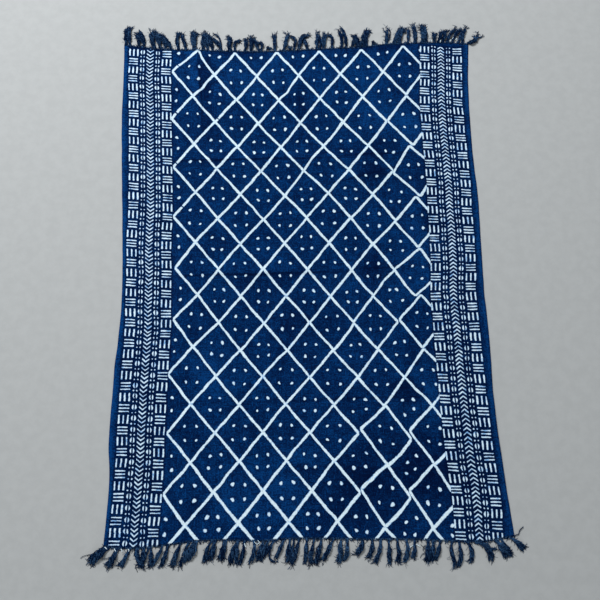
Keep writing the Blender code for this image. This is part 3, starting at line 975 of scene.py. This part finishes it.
def lay_stray(lock, line, side, look, kind, chance):
    """A frayed end or a fibre that leaves a lock near its tip."""
    start, way = lock_line(line, side, chance.uniform(kind.leaves_from, 1.0), look.sway)
    out = chance.uniform(-1, 1)
    start = start + Vector((way.y, -way.x)) * out * lock.wide * look.swell * MM * STRAY.starts_within
    turn = -math.radians(kind.turn) * between(chance.uniform(-1, 1), out, STRAY.outward)
    swerve = math.radians(chance.uniform(-STRAY.swerve, STRAY.swerve))
    length = chance.uniform(*kind.length)
    height = chance.uniform(*STRAY.height)
    heading = math.atan2(way.y, way.x) + turn * STRAY.at_once
    bend = (turn * (1 - STRAY.at_once) + swerve) / kind.steps
    return lay_thin_end(kind, start, heading, bend, length / kind.steps, height, STRAY.settles)


def lay_fluff(number, side, chance):
    """A short end of yarn at the cut edge of the cloth."""
    x = (number + chance.uniform(*FLUFF.place)) * FLUFF.apart - CLOTH_WIDTH / 2
    heading = side * (math.pi / 2 + math.radians(chance.uniform(-FLUFF.turn, FLUFF.turn)))
    curl = chance.uniform(-FLUFF.curl, FLUFF.curl)
    stride = chance.uniform(*FLUFF.length) / (FLUFF.steps - 1)
    start = Vector((x, end_edge(x, side) - side * LOCK.tucked_in))
    return lay_thin_end(FLUFF, start, heading, curl, stride, CLOTH_THICKNESS * FLUFF.starts_up)


def lay_thread(thread):
    """A smooth thread through a few places, a few mm up from the floor."""
    keys = np.arange(len(thread.places), dtype=float)
    shares = np.linspace(0, len(thread.places) - 1, THREAD_POINTS * len(thread.places))
    x, y = (smooth_curve(keys, column, shares) * MM for column in zip(*thread.places))
    points = [Vector((a, b, (thread.up + THREAD_LIFT) * MM)) for a, b in zip(x.tolist(), y.tolist())]
    return points, [thread.thick * MM / 2] * len(points)


class TubeMesh:
    """Gathers many thin tubes into one mesh, with a shade for each and its own cell on the map."""

    def __init__(self):
        self.points = []
        self.faces = []
        self.shades = []
        self.cell_places = []
        self.lengths = []
        self.count = 0

    def add_tube(self, laid, sides, shade):
        """Add a tube from its points and radii, which lie around the middle of the cloth."""
        path, radii = laid
        base = len(self.points)
        rings = len(path)
        middle = Vector((*CLOTH_MIDDLE, 0))
        gone = [0.0]
        for here, following in zip(path, path[1:]):
            gone.append(gone[-1] + (following - here).length)
        for number, (place, radius) in enumerate(zip(path, radii)):
            way = (path[min(number + 1, rings - 1)] - path[max(number - 1, 0)]).normalized()
            sideways = way.cross(Vector((0, 0, 1))).normalized()
            upward = sideways.cross(way)
            for side in range(sides):
                angle = math.tau * side / sides
                spoke = (sideways * math.cos(angle) + upward * math.sin(angle)) * radius
                self.points.append(place + middle + spoke)
                self.shades.append(shade)
        for ring in range(rings - 1):
            start, end = (gone[number] / gone[-1] for number in (ring, ring + 1))
            for side in range(sides):
                low = base + ring * sides + side
                next_low = base + ring * sides + (side + 1) % sides
                left, right = side / sides, (side + 1) / sides
                corners = [(left, start), (right, start), (right, end), (left, end)]
                self.add_face((low, next_low, next_low + sides, low + sides), corners, gone[-1])
        last = base + (rings - 1) * sides
        self.add_face(range(base + sides - 1, base - 1, -1), self.cap_corners(sides, 0.0)[::-1], gone[-1])
        self.add_face(range(last, last + sides), self.cap_corners(sides, 1.0), gone[-1])
        self.count += 1

    def cap_corners(self, sides, end):
        """The corners of an end cap, as a small ring in the margin of the tube's cell."""
        middle = (CAP.first + CAP.apart * end, -CELL_MARGIN / 2)
        reach = CAP.reach * CELL_MARGIN
        turns = [math.tau * side / sides for side in range(sides)]
        return [(middle[0] + reach * math.cos(turn), middle[1] + reach * math.sin(turn)) for turn in turns]

    def add_face(self, face, corners, length):
        self.faces.append(tuple(face))
        for u, v in corners:
            self.cell_places.append((self.count, u, v))
            self.lengths.append((u, v * length))

    def build(self, name):
        mesh = bpy.data.meshes.new(name)
        mesh.from_pydata([tuple(point) for point in self.points], [], self.faces)
        mesh.shade_smooth()
        cell, u, v = np.array(self.cell_places).T
        cells_along = math.ceil(self.count / CELLS_ACROSS)
        inside_u = between(CELL_MARGIN, 1 - CELL_MARGIN, u)
        inside_v = between(2 * CELL_MARGIN, 1 - CELL_MARGIN, v)
        map_u = (cell % CELLS_ACROSS + inside_u) / CELLS_ACROSS
        add_map(mesh, "OFBake", map_u, (cell // CELLS_ACROSS + inside_v) / cells_along)
        add_map(mesh, "yarn_length", *np.array(self.lengths).T)
        add_shades(mesh, "yarn_shade", self.shades)
        return mesh


def build_fringe(name, locks, side, look, node):
    """The locks of one end, each a bundle of yarns with frayed ends and fibres that stray from it."""
    chance = random.Random(look.seed)
    tubes = TubeMesh()
    for lock in locks:
        line = plan_lock(lock, side)
        lock_shade = chance.uniform(0, 1)
        start = chance.uniform(0, math.tau)
        yarns = max(LOCK.fewest_yarns, round(lock.wide * look.swell * LOCK.yarns_each_mm))
        for number in range(yarns):
            spot = (math.sqrt((number + 0.5) / yarns), start + GOLDEN_TURN * number)
            drawn = ((number * LOCK.order_step) % yarns + 0.5) / yarns * 2 - 1
            tail = 1 - chance.uniform(0, look.uneven_ends)
            yarn = lay_yarn(lock, line, side, look, spot, drawn, tail, chance.uniform(0, 1000))
            # Painted shade: each end's yarn shades are scaled down, the far end's most
            shade = look.palest * between(chance.uniform(0, 1), lock_shade, LOCK.shared_shade)
            tubes.add_tube(yarn, YARN.sides, shade)
        for kind, count in ((SPIKE, look.spikes), (FIBRE, look.fibres)):
            for _ in range(round(count * lock.wide / TYPICAL_LOCK)):
                stray = lay_stray(lock, line, side, look, kind, chance)
                tubes.add_tube(stray, kind.sides, chance.uniform(*THIN_END_SHADES))
    # Fluff along the cut edge, dense partly to stand in for shade between the roots
    for number in range(round(CLOTH_WIDTH / FLUFF.apart)):
        fluff = lay_fluff(number, side, chance)
        tubes.add_tube(fluff, FLUFF.sides, chance.uniform(*THIN_END_SHADES))
    for thread in [row for row in LOOSE_THREADS if row.places[0][1] * side > 0]:
        tubes.add_tube(lay_thread(thread), YARN.sides, PALE_YARN if thread.pale else THREAD_SHADE)
    fringe = link_piece(name, tubes.build(name))
    fringe.data.materials.append(fringe_yarn())
    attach(fringe, "root")
    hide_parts(node)
    return fringe


# Building shader nodes

class Wire:
    """A value that runs between shader nodes. Reckoning with it puts down the next node."""

    def __init__(self, bench, socket):
        self.bench = bench
        self.socket = socket
        self.is_number = socket.type == "VALUE"

    def __add__(self, other):
        return self.bench.reckon("ADD", self, other)

    def __sub__(self, other):
        return self.bench.reckon("SUBTRACT", self, other)

    def __rsub__(self, other):
        return self.bench.reckon("SUBTRACT", other, self)

    def __mul__(self, other):
        return self.bench.reckon("MULTIPLY", self, other)

    def __truediv__(self, other):
        return self.bench.reckon("DIVIDE", self, other)

    def __abs__(self):
        return self.bench.reckon("ABSOLUTE", self)


class NodeBench:
    """Puts nodes into a tree in rows, and joins their sockets."""

    def __init__(self, tree):
        self.tree = tree
        self.placed = 0

    def put(self, kind, feeds=(), **settings):
        """Add a node, with its settings, and feed its inputs by number or name."""
        node = self.tree.nodes.new(kind)
        node.location = (NODE_STEP * (self.placed % NODE_ROW), -NODE_STEP * (self.placed // NODE_ROW))
        self.placed += 1
        for setting, value in settings.items():
            setattr(node, setting, value)
        for socket, value in dict(feeds).items():
            self.feed(node.inputs[socket], value)
        return node

    def feed(self, socket, value):
        if isinstance(value, Wire):
            self.tree.links.new(value.socket, socket)
        else:
            socket.default_value = value

    def output(self, which, kind, feeds=(), **settings):
        """Add a node, and give one of its outputs."""
        return Wire(self, self.put(kind, feeds, **settings).outputs[which])

    def number(self, operation, *feeds):
        return self.output(0, "ShaderNodeMath", enumerate(feeds), operation=operation)

    def vector(self, operation, *feeds):
        which = "Value" if operation in ("LENGTH", "DISTANCE", "DOT_PRODUCT") else "Vector"
        return self.output(which, "ShaderNodeVectorMath", enumerate(feeds), operation=operation)

    def reckon(self, operation, *feeds):
        """Reckon with numbers, or with vectors where one of the feeds is a vector."""
        are_numbers = [isinstance(feed, (int, float)) or getattr(feed, "is_number", False) for feed in feeds]
        return self.number(operation, *feeds) if all(are_numbers) else self.vector(operation, *feeds)

    def scaled(self, vector, factor):
        return self.output(0, "ShaderNodeVectorMath", {0: vector, "Scale": factor}, operation="SCALE")

    def turned(self, vector, angle):
        """Turn a place around the origin."""
        feeds = {"Vector": vector, "Angle": angle}
        return self.output(0, "ShaderNodeVectorRotate", feeds, rotation_type="Z_AXIS")

    def parts(self, vector):
        return tuple(Wire(self, part) for part in self.put("ShaderNodeSeparateXYZ", {0: vector}).outputs)

    def joined(self, x, y, z=0.0):
        return self.output(0, "ShaderNodeCombineXYZ", {0: x, 1: y, 2: z})

    def highest(self, first, *others):
        for other in others:
            first = self.number("MAXIMUM", first, other)
        return first

    def lowest(self, first, *others):
        for other in others:
            first = self.number("MINIMUM", first, other)
        return first

    def folded(self, value, pitch):
        """The distance from the nearest whole number of pitches."""
        return self.number("WRAP", value, pitch / 2, -pitch / 2)

    def folded_thrice(self, value, pitch):
        """The distance from the nearest of three places, a pitch apart, around 0."""
        step = self.highest(self.lowest(self.number("ROUND", value / pitch), 1.0), -1.0)
        return value - step * pitch

    def range(self, value, low, high, new_low=0.0, new_high=1.0):
        """Map a value smoothly from one range to another, and hold it there."""
        feeds = enumerate((value, low, high, new_low, new_high))
        return self.output(0, "ShaderNodeMapRange", feeds, interpolation_type="SMOOTHSTEP")

    def steady_range(self, value, low, high):
        """Map a value evenly from one range to 0 and 1, and hold it there."""
        return self.output(0, "ShaderNodeMapRange", {0: value, 1: low, 2: high})

    def mixed(self, share, first, second, kind="MIX"):
        """Mix two colours."""
        feeds = {0: share, 6: first, 7: second}
        return self.output(2, "ShaderNodeMix", feeds, data_type="RGBA", blend_type=kind)

    def toned(self, colour, tone):
        """A colour times a grey tone."""
        return self.mixed(1.0, colour, self.joined(tone, tone, tone), "MULTIPLY")

    def cloud(self, place, size, detail=2.0, roughness=0.5, which=0):
        """A noise texture with bumps of about this size: a number from 0 to 1."""
        feeds = {"Vector": place, "Scale": 1 / size, "Detail": detail, "Roughness": roughness}
        return self.output(which, "ShaderNodeTexNoise", feeds)

    def wander(self, place, size, detail, roughness=0.5):
        """Three smooth numbers from -0.5 to 0.5, with bumps of about this size."""
        return self.cloud(place, size, detail, roughness, which=1) - HALVES

    def drawn(self, place):
        """Three numbers from -0.5 to 0.5, drawn anew for each place."""
        return self.output("Color", "ShaderNodeTexWhiteNoise", {"Vector": place}) - HALVES

    def uv(self, name):
        return self.output(0, "ShaderNodeUVMap", uv_map=name)

    def shade(self, name):
        return self.output("Fac", "ShaderNodeAttribute", attribute_name=name)

    def relief(self, values, height):
        feeds = {"Strength": values.strength, "Distance": values.depth, "Height": height}
        return self.output(0, "ShaderNodeBump", feeds)

    def use(self, group, **feeds):
        """Place a node group, and give its outputs by name."""
        node = self.put("ShaderNodeGroup", node_tree=group)
        for name, value in feeds.items():
            self.feed(node.inputs[name.replace("_", " ").title()], value)
        return {output.name: Wire(self, output) for output in node.outputs}


def start_group(name, inputs, outputs):
    """A new node group with named sockets, the bench to fill it, its given values and its result."""
    tree = bpy.data.node_groups.new(name, "ShaderNodeTree")
    for direction, sockets in (("INPUT", inputs), ("OUTPUT", outputs)):
        for socket, kind in sockets.items():
            tree.interface.new_socket(socket, in_out=direction, socket_type="NodeSocket" + kind)
    bench = NodeBench(tree)
    given = {socket.name: Wire(bench, socket) for socket in bench.put("NodeGroupInput").outputs}
    return bench, given, bench.put("NodeGroupOutput").inputs


def start_material(name):
    """A new material with a bare Principled shader, and the bench to fill it."""
    material = bpy.data.materials.new(name)
    material.use_nodes = True
    shader = material.node_tree.nodes["Principled BSDF"]
    shader.inputs["Specular IOR Level"].default_value = GLOSS
    return material, NodeBench(material.node_tree), shader


# The print

def diamond_block_group():
    """One stamp of the field: how many mm a place lies inside its lines and dots."""
    sockets = {"Place": "Vector", "Cell": "Vector"}
    bench, given, result = start_group("diamond block", sockets, {"Depth": "Float"})
    cell = given["Cell"]
    middle = (cell + (0.5, 0.5, 0)) * (*BLOCK_SIZE, 0)
    slip = bench.drawn(cell) * (BLOCK_SLIP, BLOCK_SLIP, math.radians(BLOCK_TILT))
    skew = 0.0
    for stray in STRAY_BLOCKS:
        away = bench.vector("DISTANCE", cell, (stray.column, stray.row, 0))
        is_this = bench.number("LESS_THAN", away, 0.5)
        slip = is_this * (stray.right, -stray.up, math.radians(stray.turn)) + slip
        skew = is_this * stray.skew + skew
    local = (given["Place"] - middle - slip) * (1, 1, 0)
    lowered = bench.parts(local)[0] * skew
    turned = bench.turned(local - bench.joined(0.0, lowered), bench.parts(slip)[2])
    local = abs(turned)
    quarter = bench.vector("SIGN", turned)

    reach = bench.vector("DOT_PRODUCT", local, (HALF_LONG / SLANT, HALF_WIDE / SLANT, 0))
    line = DIAMOND_LINE / 2 - abs(reach - HALF_WIDE * HALF_LONG / SLANT)
    room_x, room_y, _ = bench.parts((HALF_WIDE + BLOCK_OVERLAP, HALF_LONG + BLOCK_OVERLAP, 0) - local)
    line = bench.lowest(line, room_x, room_y)
    inner = daubed_dot(bench, turned, quarter, cell, INNER_DOT, 0)
    corner = daubed_dot(bench, turned, quarter, cell, CORNER_DOT, 1)
    inside = bench.vector("MINIMUM", bench.vector("MAXIMUM", cell, (0, 0, 0)), (LAST_COLUMN, LAST_ROW, 0))
    outside = bench.vector("DISTANCE", cell, inside) * WELL_OUTSIDE
    bench.feed(result["Depth"], bench.highest(line, inner, corner) - outside)
    return bench.tree


def daubed_dot(bench, local, quarter, cell, place, seed):
    """A dot daubed by hand in each quarter of a block: an uneven drop, no two alike."""
    drawn = bench.drawn(cell * (4, 4, 0) + (quarter + (0, 0, seed + 2)))
    off = local - quarter * (*place, 0) - drawn * (FIELD_DOT.slip, FIELD_DOT.slip, 0)
    drawn_x, _, drawn_turn = bench.parts(drawn)
    angle = drawn_turn * math.radians(FIELD_DOT.turn) - math.radians(FIELD_DOT.lean)
    off_x, off_y, _ = bench.parts(bench.turned(off * quarter, angle))
    shape_y = off_y / (FIELD_DOT.long / 2)
    shape_x = off_x / (FIELD_DOT.wide / 2) * (shape_y * FIELD_DOT.taper + 1.0)
    size = drawn_x * FIELD_DOT.uneven + 1.0
    from_middle = bench.vector("LENGTH", bench.joined(shape_x, shape_y)) / size
    return (1.0 - from_middle) * (FIELD_DOT.wide / 2)


def diamond_field_group():
    """The whole field: the block of a place and the two nearest ones beside it, laid over each other."""
    block = diamond_block_group()
    sockets = {"Chart": "Vector", "Wobble": "Vector"}
    bench, given, result = start_group("diamond field", sockets, {"Depth": "Float"})
    place = given["Chart"] * (*BLOCK_SIZE, 0) + given["Wobble"]
    chart = place / (*BLOCK_SIZE, 1)
    cell = bench.vector("FLOOR", chart)
    share_x, share_y, _ = bench.parts(chart - cell)
    beside = [bench.number("SIGN", share - 0.5) for share in (share_x, share_y)]
    steps = [(0.0, 0.0, 0.0), bench.joined(beside[0], 0.0), bench.joined(0.0, beside[1])]
    depth = bench.highest(*[bench.use(block, place=place, cell=cell + step)["Depth"] for step in steps])
    line_way = Vector((HALF_WIDE / SLANT, -HALF_LONG / SLANT, 0))
    for missed in PRINT_BREAKS:
        spot_x = (2 * missed.column + 1 - missed.share) * HALF_WIDE
        spot = Vector((spot_x, (2 * missed.row + missed.share) * HALF_LONG, 0))
        past_ends = abs(bench.vector("DOT_PRODUCT", place, line_way) - spot.dot(line_way)) - missed.long / 2
        too_far = bench.vector("DISTANCE", place, spot) - BREAK_REACH
        depth = bench.lowest(depth, bench.highest(past_ends, too_far))
    bench.feed(result["Depth"], depth)
    return bench.tree


def rounded_bar(bench, across, along, bar):
    """How many mm a place lies inside a bar with rounded corners."""
    core = (bar.wide / 2 - BAR_CORNER, bar.long / 2 - BAR_CORNER, 0)
    beyond = bench.vector("MAXIMUM", abs(bench.joined(across, along)) - core, (0, 0, 0))
    return BAR_CORNER - bench.vector("LENGTH", beyond)


def border_bars(bench, out, across, up):
    """Groups of three upright and three level bars by turns, the two sides of the border in opposite step."""
    beat = bench.number("GREATER_THAN", across, 0.0) * HALF_REPEAT + up
    number = bench.number("ROUND", beat / HALF_REPEAT)
    off = beat - number * HALF_REPEAT
    is_level = bench.number("FLOORED_MODULO", number, 2.0)
    from_bars = out - BARS_AT
    upright = rounded_bar(bench, bench.folded_thrice(from_bars, UPRIGHT_BARS.apart), off, UPRIGHT_BARS)
    level = rounded_bar(bench, from_bars, bench.folded_thrice(off, LEVEL_BARS.apart), LEVEL_BARS)
    return upright + (level - upright) * is_level


def border_beans(bench, out, across, up):
    """Split ovals between the bars and the chevrons, with a pair of dots between one and the next."""
    beside = abs(out - BEANS.at)
    rise = bench.number("SIGN", across) * -BEANS.tilt + BEANS.rise
    off = bench.folded(up - rise, HALF_REPEAT)
    shape = bench.joined(beside / (BEANS.wide / 2), off / (BEANS.long / 2))
    oval = (1.0 - bench.vector("LENGTH", shape)) * (BEANS.wide / 2)
    bean = bench.lowest(oval, beside - BEANS.slit / 2)
    from_dot = bench.joined(beside - BORDER_DOT.apart, HALF_REPEAT / 2 - abs(off))
    return bench.highest(bean, BORDER_DOT.wide / 2 - bench.vector("LENGTH", from_dot))


def border_chevrons(bench, out, up):
    """The column of chevrons along the middle line of a border."""
    arms = out * -CHEVRON.slope + up
    off = abs(bench.folded(arms - CHEVRON.rise, CHEVRON.apart))
    line = CHEVRON.line / 2 - off / math.hypot(1, CHEVRON.slope)
    return bench.lowest(line, CHEVRON.wide / 2 - out)


def side_border_group():
    """A side border, stamped in lengths of three repeats: how many mm a place lies inside its marks."""
    sockets = {"Chart": "Vector", "Wobble": "Vector", "Side": "Float"}
    bench, given, result = start_group("side border", sockets, {"Depth": "Float"})
    chart = bench.scaled(given["Chart"], 1 / MM)
    raw_up = bench.parts(chart)[1]
    stamp = bench.number("FLOOR", raw_up / BORDER_STAMP)
    slip = bench.drawn(bench.joined(stamp, given["Side"])) * (*BORDER_SLIP, 0)
    across, up, _ = bench.parts(slip + (chart + given["Wobble"]))
    out = abs(across)
    marks = bench.highest(
        border_bars(bench, out, across, up),
        border_beans(bench, out, across, up),
        border_chevrons(bench, out, up),
    )
    bench.feed(result["Depth"], bench.lowest(marks, BORDER_ENDS[0] - raw_up, raw_up - BORDER_ENDS[1]))
    return bench.tree


# The dye, the cotton and the yarn

def indigo_dye_group():
    """Hand-dyed indigo: clouds of several sizes, and streaks along the yarns where they took more or less."""
    colours = {"Deep Colour": "Color", "Body Colour": "Color", "Pale Colour": "Color"}
    sockets = {"Place": "Vector", "Pale": "Float", **colours}
    bench, given, result = start_group("indigo dye", sockets, {"Colour": "Color"})
    place = given["Place"]
    places = {"all": place, "warp": place * (1, STREAK, 1), "weft": place * (STREAK, 1, 1)}
    share = given["Pale"] + 0.5
    for layer in DYE_CLOUDS:
        share = (bench.cloud(places[layer.way], layer.size, layer.detail) - 0.5) * layer.weight + share
    colour = bench.mixed(bench.steady_range(share, 0.0, 0.5), given["Deep Colour"], given["Body Colour"])
    colour = bench.mixed(bench.steady_range(share, 0.5, 1.0), colour, given["Pale Colour"])
    bench.feed(result["Colour"], colour)
    return bench.tree


def hand_weave(bench, place):
    """A plain weave of uneven hand-spun yarns: its height, and how much painted shade darkens its valleys."""
    bent = bench.wander(place, WEAVE.bend_size, *WEAVE.bend_grain) * (WEAVE.bend, WEAVE.bend, 0) + place
    x, y, _ = bench.parts(bent)
    warp = bench.number("SINE", x * (math.pi / WEAVE.warp))
    weft = bench.number("SINE", y * (math.pi / WEAVE.weft))
    crossing = abs(warp * weft)
    slubs = bench.cloud(bent, WEAVE.slub_size, *WEAVE.slub_grain)
    return crossing * WEAVE.yarns_high + slubs * WEAVE.slubs_high, bench.range(crossing, WEAVE_GAP, 0.0)


def dye_group():
    """The dye that the cloth and the yarn share, made when it is first asked for."""
    return bpy.data.node_groups.get("indigo dye") or indigo_dye_group()


def printed_depth(bench, flat):
    """How many mm a place lies inside the print's marks, and inside the borders' alone."""
    flat_x, flat_y, _ = bench.parts(flat)
    slow, quick = [
        bench.wander(flat, kind.size, kind.detail) * (kind.reach, kind.reach, 0)
        for kind in (SLOW_WOBBLE, QUICK_WOBBLE)
    ]
    wobble = slow + quick
    field = bench.use(diamond_field_group(), chart=bench.uv("field_chart"), wobble=wobble)["Depth"]
    border_place = bench.uv("border_chart")
    side = bench.number("SIGN", flat_x)
    wobble = bench.scaled(wobble, BORDER_WOBBLE)
    border = bench.use(side_border_group(), chart=border_place, wobble=wobble, side=side)["Depth"]
    field = bench.lowest(field, bench.parts(border_place)[0] * (1 / MM) - FIELD_STARTS_AT)
    from_light = abs(flat_y - LIGHT_PRINT.at)
    lightly = bench.range(
        from_light, LIGHT_PRINT.all_within, LIGHT_PRINT.none_past, LIGHT_PRINT.thinnest, LIGHT_PRINT.fattest,
    )
    heavily = bench.range(flat_y, HEAVY_PRINT.starts, HEAVY_PRINT.full_at, 0.0, HEAVY_PRINT.fattest)
    pressed = lightly + heavily
    border = border + BORDER_SWELL - pressed
    marks = bench.lowest(bench.highest(field, border), PRINT_STOPS_AT - abs(flat_y))
    ragged = (bench.cloud(flat, RAGGED_EDGE.size) - 0.5) * RAGGED_EDGE.swell
    ragged = (bench.cloud(flat, PRESSURE.size) - 0.5) * PRESSURE.swell + ragged
    return marks + (ragged + pressed), border


def print_white(bench, flat, depth):
    """The white of the print: bluish where dye soaked under it, stained, and greyer far up the field."""
    flat_x, flat_y, _ = bench.parts(flat)
    clouds = bench.cloud(flat, THIN_WHITE.size, *THIN_WHITE.grain)
    thin = bench.range(clouds, THIN_WHITE.starts, THIN_WHITE.full_at, 0.0, THIN_WHITE.depth)
    white = bench.mixed(bench.range(depth - thin, *SOAKED_WHITE), PRINT_THIN, PRINT_WHITE)
    stains = bench.cloud(flat, STAINS.size, *STAINS.grain)
    stains = bench.range(stains, STAINS.starts, STAINS.full_at, 1.0, STAINS.shade)
    greyer = bench.range(flat_y, GREYER_FIELD.starts, GREYER_FIELD.full_at, 1.0, GREYER_FIELD.shade)
    greyer = bench.range(abs(flat_x), GREYER_FIELD.inside, GREYER_FIELD.outside, greyer, 1.0)
    return bench.toned(white, stains * greyer)


def printed_cotton():
    """Indigo cotton with its print left white: the print's depth decides where the dye took."""
    material, bench, cotton = start_material("printed indigo cotton")
    flat = bench.scaled(bench.uv("flat_cloth"), 1 / MM)
    depth, border = printed_depth(bench, flat)
    pooled = bench.range(depth, POOLED_DYE.starts, POOLED_DYE.full_at, 0.0, POOLED_DYE.shade)
    crowded = bench.range(border, CROWDED_DYE.starts, CROWDED_DYE.full_at, 0.0, CROWDED_DYE.shade)
    # The dye's paleness also carries the painted shade and light that the mesh holds
    dye = bench.use(
        dye_group(), place=flat, pale=bench.shade("dye_and_painted_shade") + (pooled + crowded),
        deep_colour=DYE_DEEP, body_colour=DYE_BODY, pale_colour=DYE_PALE,
    )["Colour"]
    colour = bench.mixed(bench.range(depth, -PRINT_EDGE, PRINT_EDGE), dye, print_white(bench, flat, depth))
    height, valley = hand_weave(bench, flat)
    # The base colour carries painted shade in the weave's valleys
    bench.feed(cotton.inputs["Base Color"], bench.toned(colour, valley * VALLEY_SHADE + 1.0))
    bench.feed(cotton.inputs["Roughness"], bench.range(height, *WEAVE.heights, *ROUGHNESS))
    bench.feed(cotton.inputs["Normal"], bench.relief(WEAVE_RELIEF, height))
    return material


def fringe_yarn():
    """Loosely twisted cotton yarn of the same dye, darker, with a painted highlight on its turns and painted
    light and shade in patches.
    """
    name = "indigo fringe yarn"
    if name in bpy.data.materials:
        return bpy.data.materials[name]
    material, bench, yarn = start_material(name)
    around, along, _ = bench.parts(bench.uv("yarn_length"))
    shade = bench.shade("yarn_shade")
    turns = bench.number("SINE", (along * (1 / (TWIST.length * MM)) + around * TWIST.plies) * math.tau)
    place = bench.scaled(bench.output("Object", "ShaderNodeTexCoord"), 1 / MM)
    fibres = bench.cloud(place, YARN_FIBRES.size, *YARN_FIBRES.grain)
    # Painted light and shade in patches a few mm long, for the lit and shaded twists of the locks
    painted_light_clumps = bench.cloud(place, YARN_PAINTED_LIGHT_CLUMPS.size, *YARN_PAINTED_LIGHT_CLUMPS.grain) - 0.5
    # The twist's turns carry a painted highlight
    lift = turns * TWIST.lift + (shade * YARN_SHADE_LIFT + fibres * YARN_FIBRES.lift)
    lift = painted_light_clumps * YARN_PAINTED_LIGHT_CLUMPS.lift + lift
    dye = bench.use(
        dye_group(), place=place, pale=YARN_DYE_PALE,
        deep_colour=YARN_DARK, body_colour=YARN_DARK, pale_colour=YARN_LIGHT,
    )["Colour"]
    colour = bench.mixed(bench.range(lift, *YARN_LIT), dye, YARN_LIGHT)
    colour = bench.mixed(bench.range(shade, *PALE_FROM), colour, PRINT_WHITE)
    bench.feed(yarn.inputs["Base Color"], colour)
    bench.feed(yarn.inputs["Roughness"], bench.range(fibres, *YARN_FIBRES.tones, *ROUGHNESS))
    height = fibres * YARN_FIBRES.high + turns * TWIST.high
    bench.feed(yarn.inputs["Normal"], bench.relief(YARN_RELIEF, height))
    return material


# The floor, the light and the camera

def lay_floor():
    half = FLOOR.half
    mesh = bpy.data.meshes.new("studio_floor")
    corners = [(-half, -half, 0), (half, -half, 0), (half, half, 0), (-half, half, 0)]
    mesh.from_pydata(corners, [], [(0, 1, 2, 3)])
    floor = link_piece("studio_floor", mesh)
    floor.location.z = -FLOOR.below
    material, bench, paint = start_material("pale floor")
    mottle = bench.cloud(bench.output("Object", "ShaderNodeTexCoord"), FLOOR.mottle, *FLOOR.grain)
    tone = bench.range(mottle, *FLOOR.clouds, *FLOOR.tones)
    bench.feed(paint.inputs["Base Color"], bench.toned(FLOOR_COLOUR, tone))
    paint.inputs["Roughness"].default_value = FLOOR.roughness
    paint.inputs["Specular IOR Level"].default_value = FLOOR.gloss
    floor.data.materials.append(material)
    return floor


def set_lights():
    world = bpy.data.worlds.new("soft room light")
    world.use_nodes = True
    background = world.node_tree.nodes["Background"]
    background.inputs["Color"].default_value = ROOM_LIGHT.colour
    background.inputs["Strength"].default_value = ROOM_LIGHT.strength
    bpy.context.scene.world = world
    lamp = bpy.data.lights.new("window", "AREA")
    lamp.shape = "DISK"
    lamp.size = WINDOW.size
    lamp.energy = WINDOW.power
    lamp.color = WINDOW.colour
    window = link_piece("window", lamp)
    window.location = WINDOW.place
    window.rotation_euler = (-Vector(WINDOW.place)).to_track_quat("-Z", "Y").to_euler()


def set_camera():
    tilt = math.radians(CAMERA.tilt)
    roll = math.radians(CAMERA.roll)
    forward = Vector((0, math.sin(tilt), -math.cos(tilt)))
    level_up = Vector((0, math.cos(tilt), math.sin(tilt)))
    level_right = Vector((1, 0, 0))
    right = level_right * math.cos(roll) + level_up * math.sin(roll)
    up = level_up * math.cos(roll) - level_right * math.sin(roll)
    lens = bpy.data.cameras.new("photo view")
    lens.lens = CAMERA.lens
    lens.sensor_width = CAMERA.sensor
    camera = link_piece("photo view", lens)
    turn = Matrix((right, up, -forward)).transposed().to_4x4()
    camera.matrix_world = Matrix.Translation(CAMERA.place) @ turn
    bpy.context.scene.camera = camera
    bpy.context.scene.view_settings.view_transform = "Standard"


def main():
    # Vector noise would otherwise start from the clock
    noise.seed_set(VECTOR_NOISE_SEED)
    floor = lay_floor()
    cloth = build_cloth()
    fringes = [
        build_fringe("far_fringe", FAR_LOCKS, 1, FAR_LOOK, "fringe_far"),
        build_fringe("near_fringe", NEAR_LOCKS, -1, NEAR_LOOK, "fringe_near"),
    ]
    set_lights()
    set_camera()


main()
